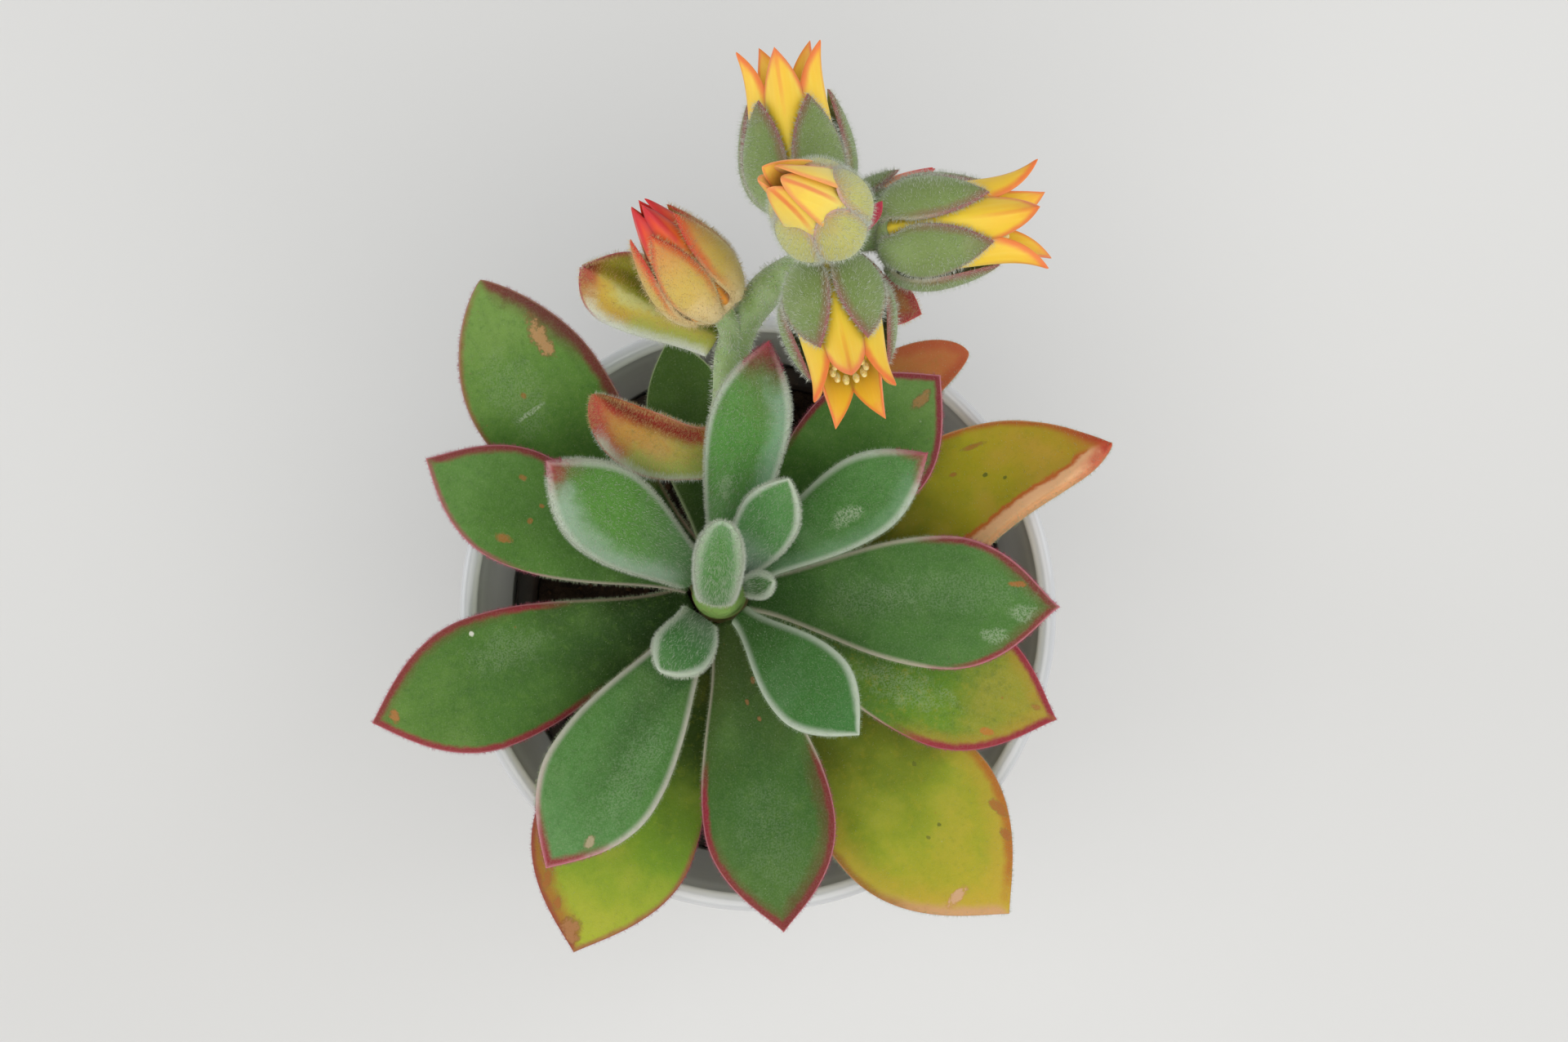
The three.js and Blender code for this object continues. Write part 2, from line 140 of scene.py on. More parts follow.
class Finish:
    """A material round one Principled shader. The numbers given for its sockets stay constant."""

    def __init__(self, name, **constants):
        self.material = bpy.data.materials.new(name)
        self.material.use_nodes = True
        self.tree = self.material.node_tree
        self.shader = self.tree.nodes["Principled BSDF"]
        for socket, number in constants.items():
            self.shader.inputs[socket.replace("_", " ")].default_value = number

    def node(self, kind, settings=None, inputs=None, output=0):
        """Any node: its type, its settings, which are set first, and its sockets' values or links."""
        made = self.tree.nodes.new(kind)
        for name, setting in (settings or {}).items():
            setattr(made, name, setting)
        for key, value in (inputs or {}).items():
            self.join(value, made.inputs[key])
        return Value(self, made.outputs[output])

    def join(self, value, socket):
        if isinstance(value, Value):
            self.tree.links.new(value.socket, socket)
        else:
            socket.default_value = value

    def give(self, **sockets):
        for name, value in sockets.items():
            self.join(value, self.shader.inputs[name.replace("_", " ")])

    def mark(self, name):
        """A number that the mesh holds for each of its points."""
        return self.node("ShaderNodeAttribute", {"attribute_name": name}, output="Fac")

    def place(self):
        return self.node("ShaderNodeTexCoord", output="Object")

    def spot_map(self, x, y, z=0.0):
        return self.node("ShaderNodeCombineXYZ", inputs={0: x, 1: y, 2: z})

    def mix(self, share, first, second):
        return self.node("ShaderNodeMix", {"data_type": "RGBA"}, {0: share, 6: first, 7: second}, 2)

    def ease(self, value, low, high):
        """0 up to low, 1 from high on, and a smooth step between. low may be the larger one."""
        turned = low > high
        ends = {0: value, 1: min(low, high), 2: max(low, high)}
        step = self.node("ShaderNodeMapRange", {"interpolation_type": "SMOOTHSTEP"}, ends)
        return 1 - step if turned else step

    def noise(self, where, size, detail=2.0, roughness=0.5, seed=0.0):
        """Cloudy noise about 0.5, its patches about size metres across, or in the map's own unit."""
        settings = {"noise_dimensions": "4D"}
        inputs = {"Vector": where, "W": seed, "Scale": 1 / size, "Detail": detail, "Roughness": roughness}
        return self.node("ShaderNodeTexNoise", settings, inputs)

    def grit(self, where, size, radius, share, seed=0.0):
        """Round dots about size apart, each 1 at its middle. Only that share of the places has one."""
        settings = {"voronoi_dimensions": "4D"}
        inputs = {"Vector": where, "W": seed, "Scale": 1 / size, "Randomness": 1.0}
        cell = self.node("ShaderNodeTexVoronoi", settings, inputs, "Distance")
        tint = Value(self, cell.socket.node.outputs["Color"])
        chance = self.node("ShaderNodeSeparateXYZ", inputs={0: tint})
        return self.ease(cell, radius / size, 0.3 * radius / size) * self.ease(chance, share + 0.02, share)

    def bump(self, height, distance, strength=1.0):
        inputs = {"Strength": strength, "Distance": distance, "Height": height}
        return self.node("ShaderNodeBump", inputs=inputs)


def hue(code):
    """A hex colour as the linear red, green, blue and alpha that a shader takes."""
    shares = [int(code[k:k + 2], 16) / 255 for k in (0, 2, 4)]
    linear = [c / 12.92 if c <= 0.04045 else ((c + 0.055) / 1.055) ** 2.4 for c in shares]
    return (*linear, 1.0)


# Surfaces

class Skin:
    """A closed surface: points in millimetres, triangles, and marks, one number a point each."""

    def __init__(self, points, faces, **marks):
        self.points = np.asarray(points, float)
        self.faces = np.asarray(faces, int)
        self.marks = {name: np.broadcast_to(np.asarray(mark, float), len(self.points)).copy()
                      for name, mark in marks.items()}

    def turned(self, matrix, shift=(0, 0, 0)):
        return Skin(self.points @ np.asarray(matrix).T + np.asarray(shift), self.faces, **self.marks)

    def outwards(self):
        """Each triangle's outward direction, as long as twice its area."""
        corners = self.points[self.faces]
        return np.cross(corners[:, 1] - corners[:, 0], corners[:, 2] - corners[:, 0])

    def normals(self):
        """Each point's outward direction, the area-weighted mean of its triangles' directions."""
        across = self.outwards()
        sums = np.zeros_like(self.points)
        for corner in range(3):
            np.add.at(sums, self.faces[:, corner], across)
        return sums / np.maximum(np.linalg.norm(sums, axis=1, keepdims=True), 1e-12)


def together(skins):
    """Several skins as one. A mark that a skin lacks is 0 there."""
    names = sorted({name for skin in skins for name in skin.marks})
    starts = np.cumsum([0] + [len(skin.points) for skin in skins[:-1]])
    marks = {name: np.concatenate([skin.marks.get(name, np.zeros(len(skin.points))) for skin in skins])
             for name in names}
    points = np.concatenate([skin.points for skin in skins])
    return Skin(points, np.concatenate([s.faces + k for s, k in zip(skins, starts)]), **marks)


def closed_grid(grid, start, end, **marks):
    """A skin over rings of points, grid[ring, place], closed by a point at either end. Each mark has
    the grid's shape, and the end points take the mean of the ring next to them. Its rings turn
    anticlockwise as seen from the end."""
    rings, sides = grid.shape[:2]
    here = np.arange(rings * sides).reshape(rings, sides)
    low, high = here[:-1], here[1:]
    low_next, high_next = np.roll(low, -1, 1), np.roll(high, -1, 1)
    first, last = rings * sides, rings * sides + 1
    faces = [
        np.stack([low, low_next, high_next], -1).reshape(-1, 3),
        np.stack([low, high_next, high], -1).reshape(-1, 3),
        np.stack([np.full(sides, first), np.roll(here[0], -1), here[0]], -1),
        np.stack([np.full(sides, last), here[-1], np.roll(here[-1], -1)], -1),
    ]
    points = np.concatenate([grid.reshape(-1, 3), [start, end]])
    marks = {name: np.concatenate([mark.ravel(), [mark[0].mean(), mark[-1].mean()]])
             for name, mark in marks.items()}
    return Skin(points, np.concatenate(faces), **marks)


def lathe(profile, sides):
    """A skin round the Z axis from (radius, height) points, whose first and last lie on the axis."""
    turn = TAU * np.arange(sides) / sides
    radius, height = np.asarray(profile[1:-1], float).T
    ring = np.stack([np.cos(turn), np.sin(turn), 0 * turn], -1)
    grid = radius[:, None, None] * ring + height[:, None, None] * np.array([0, 0, 1.0])
    return faced_out(closed_grid(grid, (0, 0, profile[0][1]), (0, 0, profile[-1][1])))


def faced_out(skin):
    """The skin with its triangles turned over where its volume, the sum of a . (b x c) / 6 over its
    triangles, comes out below 0."""
    a, b, c = np.moveaxis(skin.points[skin.faces], 1, 0)
    volume = np.einsum("ij,ij->i", a, np.cross(b, c)).sum() / 6
    return skin if volume > 0 else Skin(skin.points, skin.faces[:, ::-1], **skin.marks)


def unit(vectors):
    return vectors / np.linalg.norm(vectors, axis=-1, keepdims=True)


def turn_to(aim):
    """The smallest turn that takes +Z to aim, as a matrix: I + K + K K / (1 + cosine), where K is the
    cross product with the axis."""
    x, y, z = unit(np.asarray(aim, float))
    cross = np.array([[0, 0, x], [0, 0, y], [-x, -y, 0]])
    return np.eye(3) + cross + cross @ cross / (1 + z)


def turn_flat(degrees):
    angle = math.radians(degrees)
    return np.array([
        [math.cos(angle), -math.sin(angle), 0],
        [math.sin(angle), math.cos(angle), 0],
        [0, 0, 1],
    ])


def curve_through(places, count):
    """Points at even steps on the Catmull-Rom curve through the places."""
    places = np.asarray(places, float)
    ends = 2 * places[:1] - places[1:2], 2 * places[-1:] - places[-2:-1]
    knots = np.concatenate([ends[0], places, ends[1]])
    s = np.linspace(0, len(places) - 1, 40 * len(places))
    k = np.minimum(s.astype(int), len(places) - 2)
    t = (s - k)[:, None]
    a, b, c, d = (knots[k + step] for step in range(4))
    square, cube = 2 * a - 5 * b + 4 * c - d, 3 * b - a - 3 * c + d
    return evenly(0.5 * (2 * b + (c - a) * t + square * t ** 2 + cube * t ** 3), count)


def evenly(line, count):
    """A line of points with its points moved to even steps along it."""
    lengths = np.linalg.norm(np.diff(line, axis=0), axis=1)
    run = np.concatenate([[0], np.cumsum(lengths)])
    steps = np.linspace(0, run[-1], count)
    return np.stack([np.interp(steps, run, line[:, axis]) for axis in range(3)], -1)


def tube(line, radii, sides):
    """A round tube along a line of points, with a radius for each, rounded over at both ends. The mark
    run is the share of its length, and spin the turn about it."""
    line = np.asarray(line, float)
    radii = np.broadcast_to(radii, len(line)).astype(float)
    along = unit(np.gradient(line, axis=0))
    side = unit(np.cross(along, [0.31, 0.17, 0.93]))
    up = np.cross(along, side)
    caps = np.sin(np.radians([25, 50, 75]))
    rise = np.cos(np.radians([25, 50, 75]))
    before = line[0] - along[0] * (radii[0] * rise)[:, None]
    after = line[-1] + along[-1] * (radii[-1] * rise[::-1])[:, None]
    centre = np.concatenate([before, line, after])
    radius = np.concatenate([radii[0] * caps, radii, radii[-1] * caps[::-1]])
    side = np.concatenate([side[:1]] * 3 + [side] + [side[-1:]] * 3)
    up = np.concatenate([up[:1]] * 3 + [up] + [up[-1:]] * 3)
    turn = TAU * np.arange(sides) / sides
    round_about = np.cos(turn)[:, None] * side[:, None] + np.sin(turn)[:, None] * up[:, None]
    grid = centre[:, None] + radius[:, None, None] * round_about
    run = np.repeat(np.linspace(0, 1, len(centre))[:, None], sides, 1)
    spin = np.repeat(turn[None], len(centre), 0)
    start, end = line[0] - along[0] * radii[0], line[-1] + along[-1] * radii[-1]
    return faced_out(closed_grid(grid, start, end, run=run, spin=spin))


def piece(name, skin, finish, replaced=()):
    """Puts a skin into a mesh of its own that rides on the part."""
    mesh = bpy.data.meshes.new(name)
    mesh.vertices.add(len(skin.points))
    mesh.vertices.foreach_set("co", (skin.points * MM).astype(np.float32).ravel())
    mesh.loops.add(skin.faces.size)
    mesh.loops.foreach_set("vertex_index", skin.faces.astype(np.int32).ravel())
    mesh.polygons.add(len(skin.faces))
    mesh.polygons.foreach_set("loop_start", np.arange(0, skin.faces.size, 3, dtype=np.int32))
    mesh.polygons.foreach_set("use_smooth", np.ones(len(skin.faces), bool))
    mesh.update(calc_edges=True)
    for mark, numbers in skin.marks.items():
        mesh.attributes.new(mark, "FLOAT", "POINT").data.foreach_set("value", numbers.astype(np.float32))
    mesh.materials.append(finish.material)
    made = bpy.data.objects.new(name, mesh)
    bpy.context.scene.collection.objects.link(made)
    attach(made, "root")
    if replaced:
        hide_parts(*replaced)
    return made


def waves(x, y, size, seed, count=18):
    """Smooth random lumps of height about 1: a sum of sine waves of about that length, each with a
    direction and a phase of its own."""
    draw = np.random.default_rng(seed)
    angle = draw.uniform(0, TAU, count)
    length = size * draw.uniform(0.6, 1.7, count)
    phase = draw.uniform(0, TAU, count)
    total = sum(np.sin(TAU * (x * math.cos(a) + y * math.sin(a)) / w + p)
                for a, w, p in zip(angle, length, phase))
    return total / math.sqrt(0.5 * count)


# Blades: leaves, bracts, sepals and petals are one kind of surface

BLADE = {
    "sweep": 0, "roll": 0, "neck": 0.28, "widest": 0.66, "cup": 0.1, "point": 0.2, "blunt": 0.75,
    "groove": 0.0, "keel": 0.0, "wave": 0.0, "skew": 0.0, "fold": 0.0, "swell": 0.3,
    "roundness": 1.0, "section": (), "nip": 0.0, "seed": 0,
}


def width_share(s, neck, widest, point, roundness):
    """Width as a share of the full width: a neck that swells by half a cosine wave to the widest
    place, and from there 1 - x^2, to the power of roundness, drawn in a little more close to the tip
    by 1 - point x^6."""
    swell = neck + (1 - neck) * (0.5 - 0.5 * np.cos(np.pi * np.minimum(s / widest, 1))) ** 0.85
    x = np.maximum(s - widest, 0) / (1 - widest)
    return np.where(s <= widest, swell, (1 - x ** 2) ** roundness * (1 - point * x ** 6))


def blade(shape, rings, sides):
    """A fleshy blade from the origin along +X, its upper side up. Its midrib is the cubic that starts
    at the angle rise and ends at the angle fall, and sweep bends it sideways. Each ring is an oval
    across it: half width times the cosine of the turn across, and thickness times a power of its sine
    upward, of which swell is the share above the midrib. cup raises both margins, groove is a channel
    along the upper face, keel a ridge along the lower one, and wave low random dents. roll turns the
    tip about the midrib, skew makes one half wider, nip narrows the right half near the tip, fold
    turns the right margin down, and section lifts each place across by a curve through its points.
    Marks: along 0 to 1, run and offset in millimetres, top from -1 below to 1 above, and edge, the
    distance from the margin in millimetres."""
    shape = {**BLADE, **shape}
    reach, climb = shape["reach"], shape["climb"]
    third = math.hypot(reach, climb) / 3
    rise, fall = math.radians(shape["rise"]), math.radians(shape["fall"])
    ends = np.array([
        [0, 0, 0],
        [third * math.cos(rise), shape["sweep"], third * math.sin(rise)],
        [reach - third * math.cos(fall), shape["sweep"], climb - third * math.sin(fall)],
        [reach, 0, climb],
    ])
    s = 1 - (1 - np.linspace(0, 1, rings + 1)[:-1]) ** 1.35
    t = s[:, None]
    midrib = ((1 - t) ** 3 * ends[0] + 3 * (1 - t) ** 2 * t * ends[1]
              + 3 * (1 - t) * t ** 2 * ends[2] + t ** 3 * ends[3])
    slope = ((1 - t) ** 2 * (ends[1] - ends[0]) + 2 * (1 - t) * t * (ends[2] - ends[1])
             + t ** 2 * (ends[3] - ends[2]))
    along = unit(slope)
    up = unit(np.cross(along, [0, 1, 0]))
    side = unit(np.cross(up, along))
    roll = np.radians(shape["roll"]) * t * t * (3 - 2 * t)
    side, up = np.cos(roll) * side + np.sin(roll) * up, np.cos(roll) * up - np.sin(roll) * side
    outline = (shape[key] for key in ("neck", "widest", "point", "roundness"))
    half = 0.5 * shape["width"] * width_share(s, *outline)
    deep = shape["thick"] * (0.75 + 0.25 * np.sin(np.pi * s)) * np.sqrt(1 - s ** 5)
    turn = TAU * np.arange(sides) / sides
    across, rim = np.cos(turn)[None], np.sin(turn)[None]
    half, deep, s = half[:, None], deep[:, None], s[:, None]
    offset = half * across * (1 + shape["skew"] * across)
    nip = shape["nip"] * np.sin(np.pi * np.clip((s - 0.55) / 0.45, 0, 1))
    offset = np.where(across < 0, offset * (1 - nip), offset)
    full = np.sign(rim) * np.abs(rim) ** shape["blunt"]
    share = np.where(rim > 0, shape["swell"], 1 - shape["swell"])
    lift = deep * full * share + shape["cup"] * half * across ** 2
    lift -= shape["groove"] * np.exp(-(across / 0.42) ** 2) * np.sin(np.pi * s ** 0.7) * (rim > 0)
    lift -= shape["keel"] * np.exp(-(across / 0.3) ** 2) * np.sqrt(1 - s) * (rim < 0)
    lift -= shape["fold"] * np.clip((-offset - half) / 2.6 + 1, 0, 1) ** 2 * np.sin(np.pi * s) ** 0.5
    if shape["section"]:
        line = curve_through([(x, y, 0) for x, y in shape["section"]], 80)
        lift += np.interp(across, line[:, 0], line[:, 1]) * np.sin(np.pi * np.clip(s, 0.02, 0.98)) ** 0.5
    run = np.concatenate([[0], np.cumsum(np.linalg.norm(np.diff(midrib, axis=0), axis=1))])
    lift += shape["wave"] * waves(run[:, None], offset, 11, shape["seed"]) * np.sin(np.pi * s)
    grid = midrib[:, None] + side[:, None] * offset[..., None] + up[:, None] * lift[..., None]
    margin = np.concatenate([np.stack([run, offset[:, 0]], -1), np.stack([run, offset[:, sides // 2]], -1)])
    margin = np.concatenate([margin, [[run[-1] + 0.3, 0]]])
    flat = np.stack([np.broadcast_to(run[:, None], offset.shape), offset], -1)
    edge = np.linalg.norm(flat[:, :, None] - margin, axis=-1).min(-1)
    marks = {
        "along": np.broadcast_to(s, offset.shape), "run": flat[..., 0], "offset": offset,
        "top": np.broadcast_to(rim, offset.shape), "edge": edge,
    }
    skin = closed_grid(grid, midrib[0] - 0.3 * along[0], ends[3], **marks)
    skin.marks["edge"][-1] = 0
    return faced_out(skin)


# Hairs: short needles of four faces, their roots a little under the skin

HAIR_SUNK = 0.06


def hairs(skin, chance, count, length, lean, seed, root):
    """count needles on a skin, each a three-sided spike with its root that wide. chance weighs the
    skin's points. A hair stands along the surface's normal plus a random lean."""
    draw = np.random.default_rng(seed)
    corners = skin.points[skin.faces]
    weight = np.linalg.norm(skin.outwards(), axis=1) * chance[skin.faces].mean(1)
    chosen = draw.choice(len(weight), count, p=weight / weight.sum())
    parts = draw.dirichlet((1, 1, 1), count)[..., None]
    foot = (corners[chosen] * parts).sum(1)
    way = unit((skin.normals()[skin.faces[chosen]] * parts).sum(1))
    way = unit(way + lean * draw.normal(size=(count, 3)) / math.sqrt(3))
    side = unit(np.cross(way, unit(draw.normal(size=(count, 3)))))
    other = np.cross(way, side)
    sizes = length * draw.uniform(0.6, 1.15, (count, 1))
    turn = TAU * np.arange(3) / 3
    ring = np.cos(turn)[:, None] * side[:, None] + np.sin(turn)[:, None] * other[:, None]
    base = foot[:, None] - HAIR_SUNK * way[:, None] + root * ring
    points = np.concatenate([base, (foot + way * sizes)[:, None]], 1).reshape(-1, 3)
    start = 4 * np.arange(count)[:, None, None]
    faces = (start + np.array([[0, 2, 1], [0, 1, 3], [1, 2, 3], [2, 0, 3]])).reshape(-1, 3)
    return faced_out(Skin(points, faces))


# Finishes of the plant

FUZZ = hue("b9c2a4")
LEAF_LOOK = {
    "base": "466c30", "main": "4b7532", "tip": "587f38", "under": "7c9a55", "deep": "7c9a55",
    "groove_shade": "2f5420", "groove_shade_share": 0.35, "margin": "c2b8a6", "margin_end": "c07884", "margin_wide": 0.6,
    "turns_red": 0.6, "haze": 0.06, "tip_share": 0.6, "rust": 0.06, "pale": 0.08, "turn": (0.1, 0.6),
    "streak": 0.16, "mottle": 0.28, "stripes": (), "scars": (), "dust": (),
}
YOUNG = {
    **LEAF_LOOK, "base": "6d9565", "main": "527f44", "tip": "58874a", "under": "86a682", "deep": "86a682",
    "groove_shade_share": 0.1, "haze": 0.12, "margin": "bcc4b4", "margin_end": "bcc4b4", "margin_wide": 0.9,
    "turns_red": 0.9, "rust": 0, "pale": 0,
}
OLD = {
    **LEAF_LOOK, "base": "5a7a18", "main": "a0b02a", "tip": "c0b42e", "under": "b7a552", "deep": "b7a552",
    "groove_shade": "5f7a1e", "groove_shade_share": 0.25, "margin": "b98a66", "margin_end": "bd7d62", "margin_wide": 0.45,
    "haze": 0.03, "tip_share": 0.8, "rust": 0.12, "pale": 0.03, "streak": 0.05, "mottle": 0.16,
}

# The looks of leaf_01 to leaf_21 in turn. A stripe lies along a margin: on which side (+1 left of the
# midrib, -1 right, 0 both), from and up to which share of the length, full out to how many millimetres
# from the margin and gone at how many, its colour and its share. A scar is its place along and across in
# millimetres, its half length and half width, the colours of its middle and its rim, and its share. Dust
# is a place, two sizes and a share.
TAN, RUST = ("b58a5c", "7a4a30"), ("a5602c", "7f6a30")
CORK, SOOT, SCURF = ("a07444", "6c3c2c"), ("4f5418", "6f7a22"), ("d0a588", "b47a50")
RED, BARK = "8e1c34", "6a3a26"
